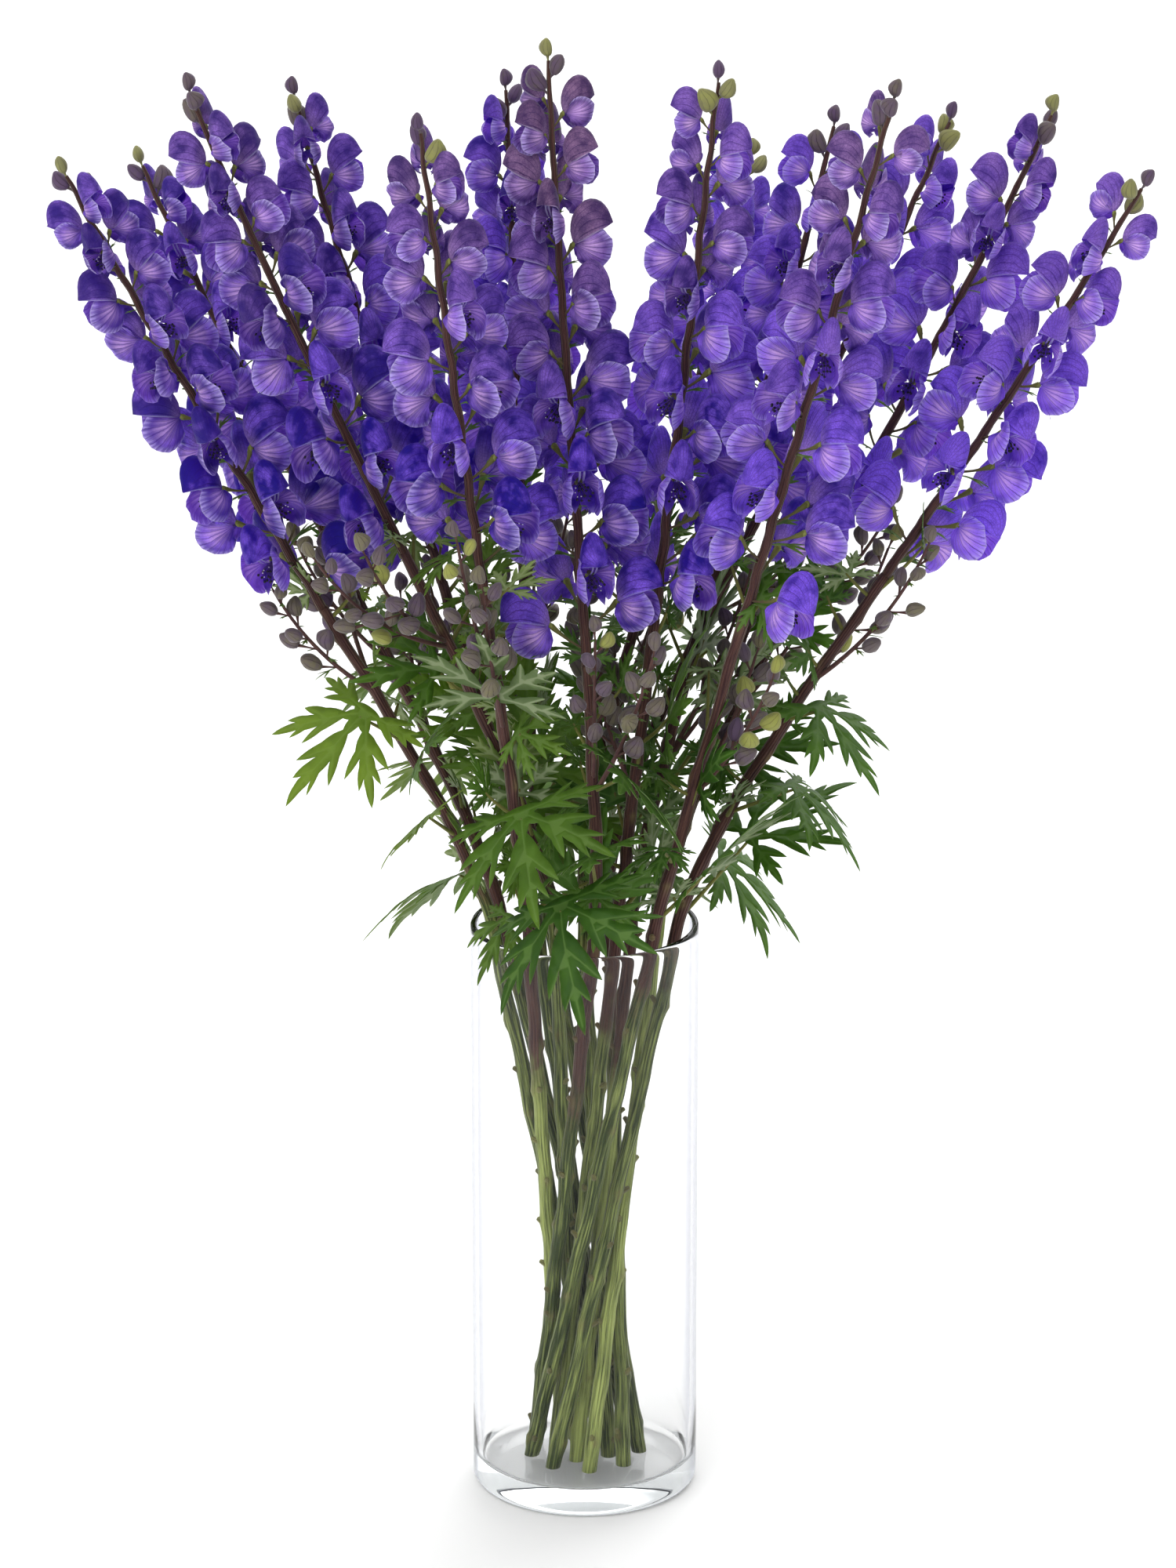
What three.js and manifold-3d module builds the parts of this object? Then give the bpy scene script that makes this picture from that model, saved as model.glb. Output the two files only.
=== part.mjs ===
// Monkshood in a vase: fourteen cut stems that cross in a clear glass cylinder.
// Millimetres, +Z up, origin at the centre of the vase's underside, -Y is the front.

import * as THREE from 'three';
import { mergeVertices } from 'three/addons/utils/BufferGeometryUtils.js';
import Module from 'manifold-3d';

const wasm = await Module();
wasm.setup();

// Vase
const VASE_RADIUS = 60;
const VASE_HEIGHT = 315;
const VASE_WALL = 3.5;
const VASE_FLOOR = 14;
const FOOT_ROUND = 5;
const RIM_ROUND = 1.7;
const VASE_SIDES = 24;

// Air left between pieces that stand on or lean against one another
const SEAT_GAP = 0.3;

// Bundle: the stems run straight inside the vase and cross in a spiral at a waist
const WAIST_HEIGHT = 115;
const OUTER = { waist: 18.2, rim: 49.5, leaves: 3 };
const INNER = { waist: 8.8, rim: 27, leaves: 3 };
const RIM_HANDLE = 0.16;
const TIP_HANDLE = 0.42;
const TIP_RISE = 0.05;

// Stalk
const TIP_THICKNESS = 1.0;
const FOOT_THICKNESS = 4.1;
const STALK_SIDES = 5;
const RACHIS_SIDES = 4;
const STALK_STEP = 60;
const ROOT_DEPTH = 0.6;
const CURVE_STEPS = 48;

// Flowers along a raceme, further apart the more it leans to the right
const FLOWER_PITCH = 9.6;
const PITCH_GROWTH = 0.009;
const BARE_TIP = 26;
const TIP_BUDS = 3;
const GOLDEN_ANGLE = 137.5;

// Leaves and side sprays below each raceme
const BLADE = 1.2;
const SPRAY_BUDS = 8;

// Each stem: its ring and bearing at the rim, the tip of its raceme, the raceme's length,
// and the width in degrees of the bare side that its flowers turn from, towards the front
const STEMS = [
  { ring: OUTER, bearing: 195, tip: [-257, -60, 726], raceme: 262, bare: 0 },
  { ring: OUTER, bearing: 155, tip: [-230, 90, 699], raceme: 230, bare: 0 },
  { ring: INNER, bearing: 236, tip: [-194, -70, 769], raceme: 262, bare: 0 },
  { ring: INNER, bearing: 164, tip: [-148, 40, 745], raceme: 262, bare: 0 },
  { ring: OUTER, bearing: 235, tip: [-80, -110, 758], raceme: 240, bare: 70 },
  { ring: OUTER, bearing: 275, tip: [-18, -40, 780], raceme: 310, bare: 60 },
  { ring: OUTER, bearing: 115, tip: [-41, 110, 735], raceme: 240, bare: 0 },
  { ring: INNER, bearing: 308, tip: [66, -60, 773], raceme: 285, bare: 70 },
  { ring: INNER, bearing: 92, tip: [88, 150, 690], raceme: 210, bare: 0 },
  { ring: INNER, bearing: 20, tip: [129, 80, 722], raceme: 230, bare: 0 },
  { ring: OUTER, bearing: 315, tip: [150, -110, 774], raceme: 285, bare: 60 },
  { ring: OUTER, bearing: 75, tip: [192, 140, 712], raceme: 230, bare: 0 },
  { ring: OUTER, bearing: 35, tip: [240, 60, 732], raceme: 240, bare: 0 },
  { ring: OUTER, bearing: -5, tip: [280, -20, 711], raceme: 240, bare: 0 },
];

// A repeatable draw between 0 and 1
function scatter(a, b) {
  const value = Math.sin(a * 12.9898 + b * 78.233) * 43758.5453;
  return value - Math.floor(value);
}

function draw(a, b, low, high) {
  return low + (high - low) * scatter(a, b);
}

const radians = THREE.MathUtils.degToRad;
const lerp = THREE.MathUtils.lerp;
const UP = new THREE.Vector3(0, 0, 1);

function bearingVector(degrees) {
  return new THREE.Vector3(Math.cos(radians(degrees)), Math.sin(radians(degrees)), 0);
}

// Stem paths

// Foot and rim points of a stem's straight run, a ruling of the spiral bundle
function straightRun(stem) {
  const rise = VASE_HEIGHT - WAIST_HEIGHT;
  const swing = Math.sqrt(stem.ring.rim ** 2 - stem.ring.waist ** 2);
  const waistBearing = stem.bearing - THREE.MathUtils.radToDeg(Math.atan2(swing, stem.ring.waist));
  const at = (height) => bearingVector(waistBearing).multiplyScalar(stem.ring.waist)
    .addScaledVector(bearingVector(waistBearing + 90), (swing * (height - WAIST_HEIGHT)) / rise)
    .setZ(height);
  const foot = at(VASE_FLOOR + SEAT_GAP);
  return { foot, rim: at(VASE_HEIGHT) };
}

// A stem's path from foot to tip, as points with their distance from the foot
function stemPath(stem) {
  const { foot, rim } = straightRun(stem);
  const tip = new THREE.Vector3(...stem.tip);
  const reach = tip.distanceTo(rim);
  const leave = rim.clone().sub(foot).normalize();
  const arrive = tip.clone().sub(rim).normalize().addScaledVector(UP, TIP_RISE).normalize();
  const curve = new THREE.CubicBezierCurve3(
    rim,
    rim.clone().addScaledVector(leave, RIM_HANDLE * reach),
    tip.clone().addScaledVector(arrive, -TIP_HANDLE * reach),
    tip,
  );
  const points = [foot];
  for (let i = 0; i <= CURVE_STEPS; i += 1) {
    points.push(curve.getPoint(i / CURVE_STEPS));
  }
  const marks = [0];
  for (let i = 1; i < points.length; i += 1) {
    marks.push(marks[i - 1] + points[i].distanceTo(points[i - 1]));
  }
  return { points, marks, length: marks[marks.length - 1] };
}

const paths = STEMS.map(stemPath);

// The point of a path at a distance down from its tip
function pointBelowTip(path, drop) {
  const mark = path.length - drop;
  let i = 1;
  while (i < path.marks.length - 1 && path.marks[i] < mark) {
    i += 1;
  }
  const share = (mark - path.marks[i - 1]) / (path.marks[i] - path.marks[i - 1]);
  return path.points[i - 1].clone().lerp(path.points[i], share);
}

// The path's direction towards the tip
function headingBelowTip(path, drop) {
  return pointBelowTip(path, drop - 3).sub(pointBelowTip(path, drop + 3)).normalize();
}

function thickness(path, drop) {
  return lerp(TIP_THICKNESS, FOOT_THICKNESS, (Math.max(drop, 0) / path.length) ** 0.55);
}

// Two directions square to a heading, the first one in the plane of a bearing
function squareTo(heading, degrees) {
  const out = bearingVector(degrees);
  out.addScaledVector(heading, -out.dot(heading)).normalize();
  return { out, side: heading.clone().cross(out) };
}

// Solids

function solidFrom(vertices, triangles) {
  const mesh = new wasm.Mesh({
    numProp: 3,
    vertProperties: new Float32Array(vertices.flatMap((v) => [v.x, v.y, v.z])),
    triVerts: new Uint32Array(triangles.flat()),
  });
  return new wasm.Manifold(mesh);
}

function solidFromGeometry(geometry) {
  geometry.deleteAttribute('normal');
  geometry.deleteAttribute('uv');
  const merged = mergeVertices(geometry, 1e-4);
  return new wasm.Manifold(new wasm.Mesh({
    numProp: 3,
    vertProperties: merged.attributes.position.array,
    triVerts: new Uint32Array(merged.index.array),
  }));
}

function geometryFrom(solid) {
  const mesh = solid.getMesh();
  const geometry = new THREE.BufferGeometry();
  geometry.setAttribute('position', new THREE.BufferAttribute(mesh.vertProperties, 3));
  geometry.setIndex(new THREE.BufferAttribute(mesh.triVerts, 1));
  geometry.computeVertexNormals();
  return geometry;
}

function join(solids) {
  return solids.reduce((whole, piece) => whole.add(piece));
}

// A closed tube through rings: each ring has a centre, a radius and a heading
function tube(rings, sides) {
  const vertices = [];
  const triangles = [];
  for (const ring of rings) {
    const { out, side } = squareTo(ring.heading, 0);
    for (let k = 0; k < sides; k += 1) {
      const turn = (2 * Math.PI * k) / sides;
      vertices.push(ring.centre.clone()
        .addScaledVector(out, ring.radius * Math.cos(turn))
        .addScaledVector(side, ring.radius * Math.sin(turn)));
    }
  }
  for (let row = 0; row < rings.length - 1; row += 1) {
    for (let k = 0; k < sides; k += 1) {
      const a = row * sides + k;
      const b = row * sides + ((k + 1) % sides);
      triangles.push([a, b, b + sides], [a, b + sides, a + sides]);
    }
  }
  const last = (rings.length - 1) * sides;
  for (let k = 1; k < sides - 1; k += 1) {
    triangles.push([0, k + 1, k], [last, last + k, last + k + 1]);
  }
  return solidFrom(vertices, triangles);
}

// A stretch of a stem between two distances below its tip, straight up to the vase's rim
function stretch(path, from, to, sides) {
  const rimDrop = path.length - path.marks[1];
  const bent = Math.min(from, rimDrop);
  const steps = Math.max(2, Math.ceil((bent - to) / STALK_STEP));
  const drops = from > rimDrop ? [from] : [];
  for (let i = 0; i <= steps; i += 1) {
    drops.push(lerp(bent, to, i / steps));
  }
  const rings = drops.map((drop) => ({
    centre: pointBelowTip(path, drop),
    radius: thickness(path, drop),
    heading: drop < path.length ? headingBelowTip(path, drop) : UP,
  }));
  return tube(rings, sides);
}

// Space already filled, as balls. Each ball knows its stem, and whether it is part of the
// stalk, of the raceme or of the leafy part
const filled = [];
const STALK = 'stalk';
const RACEME = 'raceme';
const LEAFY = 'leafy';

// How deep a ball bites into the vase's wall
function wallBite(ball) {
  const across = Math.hypot(ball.centre.x, ball.centre.y) - (VASE_RADIUS - VASE_WALL / 2);
  const above = Math.max(0, ball.centre.z - VASE_HEIGHT);
  return ball.radius + VASE_WALL / 2 - Math.hypot(across, above);
}

// How deep the worst of the balls bites into what is filled. Like pieces of one stem may
// press together, and nothing is held off its own stalk.
function bite(balls, press) {
  let depth = 0;
  for (const ball of balls) {
    depth = Math.max(depth, wallBite(ball));
    for (const other of filled) {
      const own = other.stem === ball.stem;
      if (own && other.kind === STALK) {
        continue;
      }
      const ease = own && other.kind === ball.kind ? press : 0;
      depth = Math.max(depth, ball.radius + other.radius - ball.centre.distanceTo(other.centre) - ease);
    }
  }
  return depth;
}

// The first of the tries that bites into nothing, or else the one that bites least
function firstClear(tries, press) {
  let best = null;
  for (const make of tries) {
    const item = make();
    const depth = bite(item.balls, press);
    if (best === null || depth < best.depth) {
      best = { item, depth };
    }
    if (depth === 0) {
      break;
    }
  }
  filled.push(...best.item.balls);
  return best.item;
}

// Flowers

// A flower in its own frame: x out to the front, y to the side, z up, origin at the
// receptacle. A tall hood ends in a beak, over two round side sepals and the hanging lip.
const RECEPTACLE = [[0, 0, 2.1], [0, 1.8, -1.1], [0, -1.8, -1.1]];
const HOOD_TOP = [8, 0, 26.5];
const BEAK = [21.5, 0, 15];
const LEFT_SEPAL = [13, 10, 7];
const RIGHT_SEPAL = [13, -10, 7];
const LIP = [15, 0, -11];
const FLOWER_POINTS = [...RECEPTACLE, HOOD_TOP, BEAK, LEFT_SEPAL, RIGHT_SEPAL, LIP];
const FLOWER_FACES = [
  [3, 4, 5], [0, 3, 5], [0, 5, 1], [1, 5, 7], [5, 4, 7],
  [3, 6, 4], [0, 6, 3], [0, 2, 6], [2, 7, 6], [6, 7, 4],
  [1, 7, 2],
];
// The pedicel narrows from the receptacle's three corners to its root in the rachis
const PEDICEL_FACES = [[0, 1, 8], [1, 2, 8], [2, 0, 8]];
const FLOWER_BALLS = [[9, 0, 15, 13.2], [13, 0, 1, 11.4], [14.5, 0, -8, 6.8]];

// A frame at a place: facing and up are made square to one another
function frameAt(origin, facing, up, scale) {
  const z = up.clone().normalize();
  const x = facing.clone().addScaledVector(z, -facing.dot(z)).normalize();
  return { origin, x, y: z.clone().cross(x), z, scale };
}

function inFrame(frame, [x, y, z]) {
  return frame.origin.clone()
    .addScaledVector(frame.x, x * frame.scale)
    .addScaledVector(frame.y, y * frame.scale)
    .addScaledVector(frame.z, z * frame.scale);
}

function ballsInFrame(frame, balls, label) {
  return balls.map(([x, y, z, radius]) => (
    { centre: inFrame(frame, [x, y, z]), radius: radius * frame.scale, ...label }
  ));
}

// A flower at a distance below the tip: where its pedicel starts, and its own frame
function flowerAt(stem, site, turn, reach, scale) {
  const path = paths[stem];
  const root = pointBelowTip(path, site.drop);
  const heading = headingBelowTip(path, site.drop);
  const { out } = squareTo(heading, site.bearing + turn);
  const rise = radians(site.rise);
  const along = out.clone().multiplyScalar(Math.cos(rise)).addScaledVector(heading, Math.sin(rise));
  const origin = root.clone().addScaledVector(along, site.pedicel * reach + thickness(path, site.drop));
  const upright = heading.clone().multiplyScalar(0.75).addScaledVector(UP, 0.25).normalize();
  const nod = radians(site.nod);
  const up = upright.multiplyScalar(Math.cos(nod)).addScaledVector(out, Math.sin(nod));
  const frame = frameAt(origin, out, up, site.scale * scale);
  const sunk = ROOT_DEPTH * thickness(path, site.drop);
  const middle = root.clone().lerp(origin, 0.6);
  const label = { stem, kind: RACEME };
  const balls = ballsInFrame(frame, FLOWER_BALLS, label);
  balls.push({ centre: middle, radius: 2.2, ...label });
  return { root, along, frame, sunk, balls };
}

// The sites of a raceme's flowers from its foot to its tip
function flowerSites(stem) {
  const { raceme, bare, tip } = STEMS[stem];
  const count = Math.round(raceme / (FLOWER_PITCH + PITCH_GROWTH * Math.max(0, tip[0])));
  const sites = [];
  for (let i = 0; i < count; i += 1) {
    const age = i / (count - 1);
    const turn = ((i * GOLDEN_ANGLE + 360 * scatter(stem, 1)) % 360) / 360;
    sites.push({
      drop: lerp(raceme - 8, BARE_TIP, age ** 0.95),
      bearing: -90 + bare / 2 + turn * (360 - bare),
      rise: lerp(34, 52, age) + draw(stem, i + 40, -6, 6),
      pedicel: lerp(21, 8, Math.min(1, age * 1.5)) + draw(stem, i + 80, -2, 2),
      nod: lerp(16, 4, age) + draw(stem, i + 120, -6, 6),
      scale: lerp(1.04, 0.7, age ** 3) * draw(stem, i + 160, 0.94, 1.06),
    });
  }
  return sites;
}

const FLOWER_PRESS = 6;
const FLOWER_SIZES = [1, 0.88, 0.76];
const FLOWER_REACHES = [1, 1.35, 0.75];
const FLOWER_TURNS = [0, 18, -18, 36, -36, 54, -54, 75, -75, 100, -100];

function racemeFlowers(stem) {
  return flowerSites(stem).map((site) => {
    const tries = FLOWER_SIZES.flatMap((size) => FLOWER_REACHES.flatMap((reach) => (
      FLOWER_TURNS.map((turn) => () => flowerAt(stem, site, turn, reach, size))
    )));
    return firstClear(tries, FLOWER_PRESS);
  });
}

function flowerSolid({ root, along, frame, sunk }) {
  const vertices = FLOWER_POINTS.map((point) => inFrame(frame, point));
  vertices.push(root.clone().addScaledVector(along, -sunk));
  return solidFrom(vertices, [...FLOWER_FACES, ...PEDICEL_FACES]);
}

// Buds

// A closed bud: it widens from its root to a round shoulder and narrows to a point
function budSolid({ root, along, length, size }) {
  const { out, side } = squareTo(along, THREE.MathUtils.radToDeg(Math.atan2(along.y, along.x)) + 90);
  const shoulder = root.clone().addScaledVector(along, length + 0.45 * size);
  const ring = [0, 1, 2].map((k) => shoulder.clone()
    .addScaledVector(out, 0.55 * size * Math.cos((k * 2 * Math.PI) / 3))
    .addScaledVector(side, 0.55 * size * Math.sin((k * 2 * Math.PI) / 3)));
  const foot = root.clone().addScaledVector(along, -0.8);
  const point = root.clone().addScaledVector(along, length + 1.1 * size);
  return solidFrom(
    [foot, ...ring, point],
    [[0, 2, 1], [0, 3, 2], [0, 1, 3], [1, 2, 4], [2, 3, 4], [3, 1, 4]],
  );
}

function tipBuds(stem) {
  const path = paths[stem];
  const buds = [];
  for (let i = 0; i < TIP_BUDS; i += 1) {
    const share = i / (TIP_BUDS - 1);
    const drop = lerp(BARE_TIP - 8, 1, share);
    const heading = headingBelowTip(path, Math.max(drop, 3));
    const { out } = squareTo(heading, i * GOLDEN_ANGLE + 360 * scatter(stem, 2));
    const along = out.multiplyScalar(i === TIP_BUDS - 1 ? 0.15 : 0.8).add(heading).normalize();
    buds.push({ root: pointBelowTip(path, drop), along, length: lerp(5, 3.5, share), size: lerp(11.5, 8, share) });
  }
  return buds;
}

// Side sprays

// A thin branchlet from the stalk below the raceme, with closed buds along it
function sprayAt(stem, site, turn, lean) {
  const path = paths[stem];
  const root = pointBelowTip(path, site.drop);
  const heading = headingBelowTip(path, site.drop);
  const { out, side } = squareTo(heading, site.bearing + turn);
  const start = out.clone().multiplyScalar(Math.sin(radians(lean)))
    .addScaledVector(heading, Math.cos(radians(lean)));
  const middle = root.clone().addScaledVector(start, site.length * 0.5);
  const bend = start.clone().add(UP).normalize();
  const end = middle.clone().addScaledVector(bend, site.length * 0.5);
  const label = { stem, kind: LEAFY };
  const balls = [];
  const buds = [];
  for (let i = 0; i < SPRAY_BUDS; i += 1) {
    const share = lerp(0.3, 1, i / (SPRAY_BUDS - 1));
    const on = share < 0.5
      ? root.clone().lerp(middle, share * 2)
      : middle.clone().lerp(end, share * 2 - 1);
    const swing = radians(i * GOLDEN_ANGLE);
    const across = out.clone().multiplyScalar(Math.cos(swing)).addScaledVector(side, Math.sin(swing));
    const along = across.multiplyScalar(i === SPRAY_BUDS - 1 ? 0.1 : 0.9).add(bend).normalize();
    const size = lerp(11.5, 8.5, i / (SPRAY_BUDS - 1)) * site.scale;
    const length = lerp(10, 5, i / (SPRAY_BUDS - 1));
    buds.push({ root: on, along, length, size });
    const centre = on.clone().addScaledVector(along, length + 0.55 * size);
    balls.push({ centre, radius: 0.66 * size, ...label }, { centre: on, radius: 2.5, ...label });
  }
  for (const share of [0.2, 0.4, 0.6, 0.8, 1]) {
    balls.push({ centre: root.clone().lerp(middle, share), radius: 2.5, ...label });
    balls.push({ centre: middle.clone().lerp(end, share), radius: 2.5, ...label });
  }
  return { root, middle, end, start, bend, buds, balls };
}

const SPRAY_TURNS = [0, 20, -20, 40, -40, 60, -60, 80, -80, 105, -105, 130, -130, 155, -155, 180];
const SPRAY_LEANS = [28, 40, 18, 52];
const SPRAY_PRESS = 8;

function stemSpray(stem) {
  const site = {
    drop: STEMS[stem].raceme + draw(stem, 5, 50, 116),
    bearing: outwardBearing(stem) + draw(stem, 6, -60, 60),
    length: draw(stem, 7, 80, 112),
    scale: draw(stem, 8, 0.9, 1.1),
  };
  const tries = SPRAY_LEANS.flatMap((lean) => (
    SPRAY_TURNS.map((turn) => () => sprayAt(stem, site, turn, lean))
  ));
  return firstClear(tries, SPRAY_PRESS);
}

function spraySolid({ root, middle, end, start, bend, buds }) {
  const branchlet = tube([
    { centre: root, radius: 1.2, heading: start },
    { centre: middle, radius: 1.0, heading: start.clone().add(bend).normalize() },
    { centre: end, radius: 0.8, heading: bend },
  ], 3);
  return join([branchlet, ...buds.map(budSolid)]);
}

function outwardBearing(stem) {
  const [x, y] = STEMS[stem].tip;
  return THREE.MathUtils.radToDeg(Math.atan2(y, x));
}

// Leaves

// Lobes of a palmate blade: bearing from the midrib and length. Each has a tooth on both
// sides, and its teeth and its tip are sharp
const LOBES = [
  { bearing: -96, length: 40 },
  { bearing: -48, length: 54 },
  { bearing: 0, length: 62 },
  { bearing: 48, length: 54 },
  { bearing: 96, length: 40 },
];
const SINUS_REACH = 0.26;
const TOOTH_REACH = 0.66;
const TOOTH_SWING = 19;
const LEAF_BACK = 4.5;
const LEAF_DROOP = 0.0026;
const RISING_SHARE = 0.55;
const PETIOLE_THICKNESS = 0.8;
const PETIOLE_BALLS = 8;

// The blade's outline round the petiole's end, as bearing, reach and whether it is sharp
function leafOutline() {
  const outline = [[196, LEAF_BACK, false]];
  LOBES.forEach(({ bearing, length }, i) => {
    outline.push(
      [bearing - TOOTH_SWING, length * TOOTH_REACH, true],
      [bearing, length, true],
      [bearing + TOOTH_SWING, length * TOOTH_REACH, true],
    );
    if (i < LOBES.length - 1) {
      const next = LOBES[i + 1];
      outline.push([(bearing + next.bearing) / 2, Math.min(length, next.length) * SINUS_REACH, false]);
    }
  });
  outline.push([164, LEAF_BACK, false]);
  return outline;
}

const LEAF_OUTLINE = leafOutline();

// A point of the blade in the leaf's frame, on its drooping surface
function onBlade(bearing, reach, lift) {
  const turn = radians(bearing);
  return [reach * Math.cos(turn), reach * Math.sin(turn), lift - LEAF_DROOP * reach ** 2];
}

// Balls that cover the blade: its palm, the notches, and each lobe with its teeth
const LEAF_BALLS = [
  [0, 0, 0, 6],
  ...LEAF_OUTLINE.slice(1, -1).map(([bearing, reach, sharp]) => (
    [...onBlade(bearing, reach * (sharp ? 0.92 : 0.8), 0), sharp ? 4 : 5]
  )),
  ...LOBES.flatMap(({ bearing, length }) => [0.2, 0.36, 0.52, 0.68, 0.82].map((share) => (
    [...onBlade(bearing, length * share, 0), share > 0.7 ? 5 : 8]
  ))),
];

function leafAt(stem, site, turn, pitch, reach, scale) {
  const root = pointBelowTip(paths[stem], site.drop);
  const out = bearingVector(site.bearing + turn);
  const climb = radians(site.climb);
  const along = out.clone().multiplyScalar(Math.cos(climb)).addScaledVector(UP, Math.sin(climb));
  const origin = root.clone().addScaledVector(along, site.petiole * reach);
  const slope = radians(site.slope + pitch);
  const facing = out.clone().multiplyScalar(Math.cos(slope)).addScaledVector(UP, -Math.sin(slope));
  const up = out.clone().multiplyScalar(Math.sin(slope)).addScaledVector(UP, Math.cos(slope));
  up.applyAxisAngle(facing, radians(site.roll));
  const frame = frameAt(origin, facing, up, site.scale * scale);
  const label = { stem, kind: LEAFY };
  const balls = ballsInFrame(frame, LEAF_BALLS, label);
  for (let i = 1; i <= PETIOLE_BALLS; i += 1) {
    balls.push({ centre: root.clone().lerp(origin, i / (PETIOLE_BALLS + 1)), radius: 2.2, ...label });
  }
  return { root, along, frame, balls };
}

const LEAF_TURNS = [0, 22, -22, 45, -45, 70, -70, 100, -100, 140, -140, 180];
const LEAF_PITCHES = [0, 28, -28, 50, -50];
const LEAF_REACHES = [1, 1.5, 0.7, 2.1];
const LEAF_SIZES = [1, 0.84, 0.7, 0.56, 0.42];

function stemLeaves(stem) {
  const path = paths[stem];
  const rimDrop = path.length - path.marks[1];
  const leaves = [];
  const count = STEMS[stem].ring.leaves;
  for (let i = 0; i < count; i += 1) {
    const rising = scatter(stem, i + 31) < RISING_SHARE;
    const site = {
      drop: lerp(rimDrop - 10, STEMS[stem].raceme + 34, i / count) + draw(stem, i + 10, -10, 10),
      bearing: outwardBearing(stem) + draw(stem, i + 13, -80, 80),
      climb: rising ? draw(stem, i + 16, 35, 72) : draw(stem, i + 16, 10, 50),
      petiole: draw(stem, i + 19, 14, 38),
      slope: rising ? draw(stem, i + 22, -84, -42) : draw(stem, i + 22, 16, 60),
      roll: draw(stem, i + 28, -45, 45),
      scale: lerp(1.15, 0.82, i / count) * draw(stem, i + 25, 0.9, 1.1),
    };
    const tries = LEAF_SIZES.flatMap((size) => LEAF_REACHES.flatMap((reach) => (
      LEAF_PITCHES.flatMap((pitch) => (
        LEAF_TURNS.map((turn) => () => leafAt(stem, site, turn, pitch, reach, size))
      ))
    )));
    leaves.push(firstClear(tries, 0));
  }
  return leaves;
}

// A leaf in one solid: a thin arched blade, split into triangles alike on both faces, whose
// short back edge runs on as the petiole down to its root in the stalk
function leafSolid({ root, along, frame }) {
  const half = BLADE / 2 / frame.scale;
  const vertices = [inFrame(frame, onBlade(0, 0, half)), inFrame(frame, onBlade(0, 0, -half))];
  const rim = LEAF_OUTLINE.map(([bearing, reach, sharp]) => {
    const upper = vertices.length;
    vertices.push(inFrame(frame, onBlade(bearing, reach, sharp ? 0 : half)));
    if (sharp) {
      return { upper, lower: upper };
    }
    vertices.push(inFrame(frame, onBlade(bearing, reach, -half)));
    return { upper, lower: upper + 1 };
  });
  const triangles = [];
  rim.forEach((here, k) => {
    const next = rim[(k + 1) % rim.length];
    triangles.push([0, here.upper, next.upper], [1, next.lower, here.lower]);
    if (k < rim.length - 1 && here.upper !== here.lower) {
      triangles.push([here.upper, here.lower, next.lower]);
    }
    if (k < rim.length - 1 && next.upper !== next.lower) {
      triangles.push([here.upper, next.lower, next.upper]);
    }
  });
  const lift = along.clone().cross(frame.y).normalize();
  const first = vertices.length;
  for (const [up, side] of [[1, 1], [1, -1], [-1, -1], [-1, 1]]) {
    vertices.push(root.clone()
      .addScaledVector(lift, up * PETIOLE_THICKNESS)
      .addScaledVector(frame.y, side * PETIOLE_THICKNESS));
  }
  const [start, end] = [rim[0], rim[rim.length - 1]];
  const back = [end.upper, start.upper, start.lower, end.lower];
  for (let k = 0; k < 4; k += 1) {
    const next = (k + 1) % 4;
    triangles.push([back[k], first + k, first + next], [back[k], first + next, back[next]]);
  }
  triangles.push([first, first + 3, first + 2], [first, first + 2, first + 1]);
  return solidFrom(vertices, triangles);
}

// Materials
const GLASS = new THREE.MeshStandardMaterial({ color: 0xe8eef0, roughness: 0.03, metalness: 0 });
const FOLIAGE = new THREE.MeshStandardMaterial({ color: 0x3f5f24, roughness: 0.6, metalness: 0 });
const PETALS = new THREE.MeshStandardMaterial({ color: 0x4b2fa8, roughness: 0.55, metalness: 0 });

// Assembly
const part = new THREE.Group();

function addNode(name, geometry, material) {
  const mesh = new THREE.Mesh(geometry, material);
  mesh.name = name;
  part.add(mesh);
}

function vaseGeometry() {
  const inner = VASE_RADIUS - VASE_WALL;
  const corner = FOOT_ROUND * (1 - Math.SQRT1_2);
  const profile = [
    [0, 0],
    [VASE_RADIUS - FOOT_ROUND, 0],
    [VASE_RADIUS - corner, corner],
    [VASE_RADIUS, FOOT_ROUND],
    [VASE_RADIUS, VASE_HEIGHT - RIM_ROUND],
    [VASE_RADIUS - VASE_WALL / 2, VASE_HEIGHT],
    [inner, VASE_HEIGHT - RIM_ROUND],
    [inner, VASE_FLOOR + FOOT_ROUND],
    [inner - FOOT_ROUND, VASE_FLOOR],
    [0, VASE_FLOOR],
  ];
  const geometry = new THREE.LatheGeometry(profile.map(([r, z]) => new THREE.Vector2(r, z)), VASE_SIDES);
  geometry.rotateX(Math.PI / 2);
  return geometryFrom(solidFromGeometry(geometry));
}

STEMS.forEach((_, stem) => {
  const path = paths[stem];
  for (let drop = 0; drop < path.length; drop += 5) {
    const centre = pointBelowTip(path, drop);
    filled.push({ centre, radius: thickness(path, drop) + 1.2, stem, kind: STALK });
  }
});
const stems = STEMS.map((_, stem) => stem);
const flowers = stems.map(racemeFlowers);
const leaves = stems.map(stemLeaves);
const sprays = stems.map(stemSpray);

addNode('vase', vaseGeometry(), GLASS);

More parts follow.
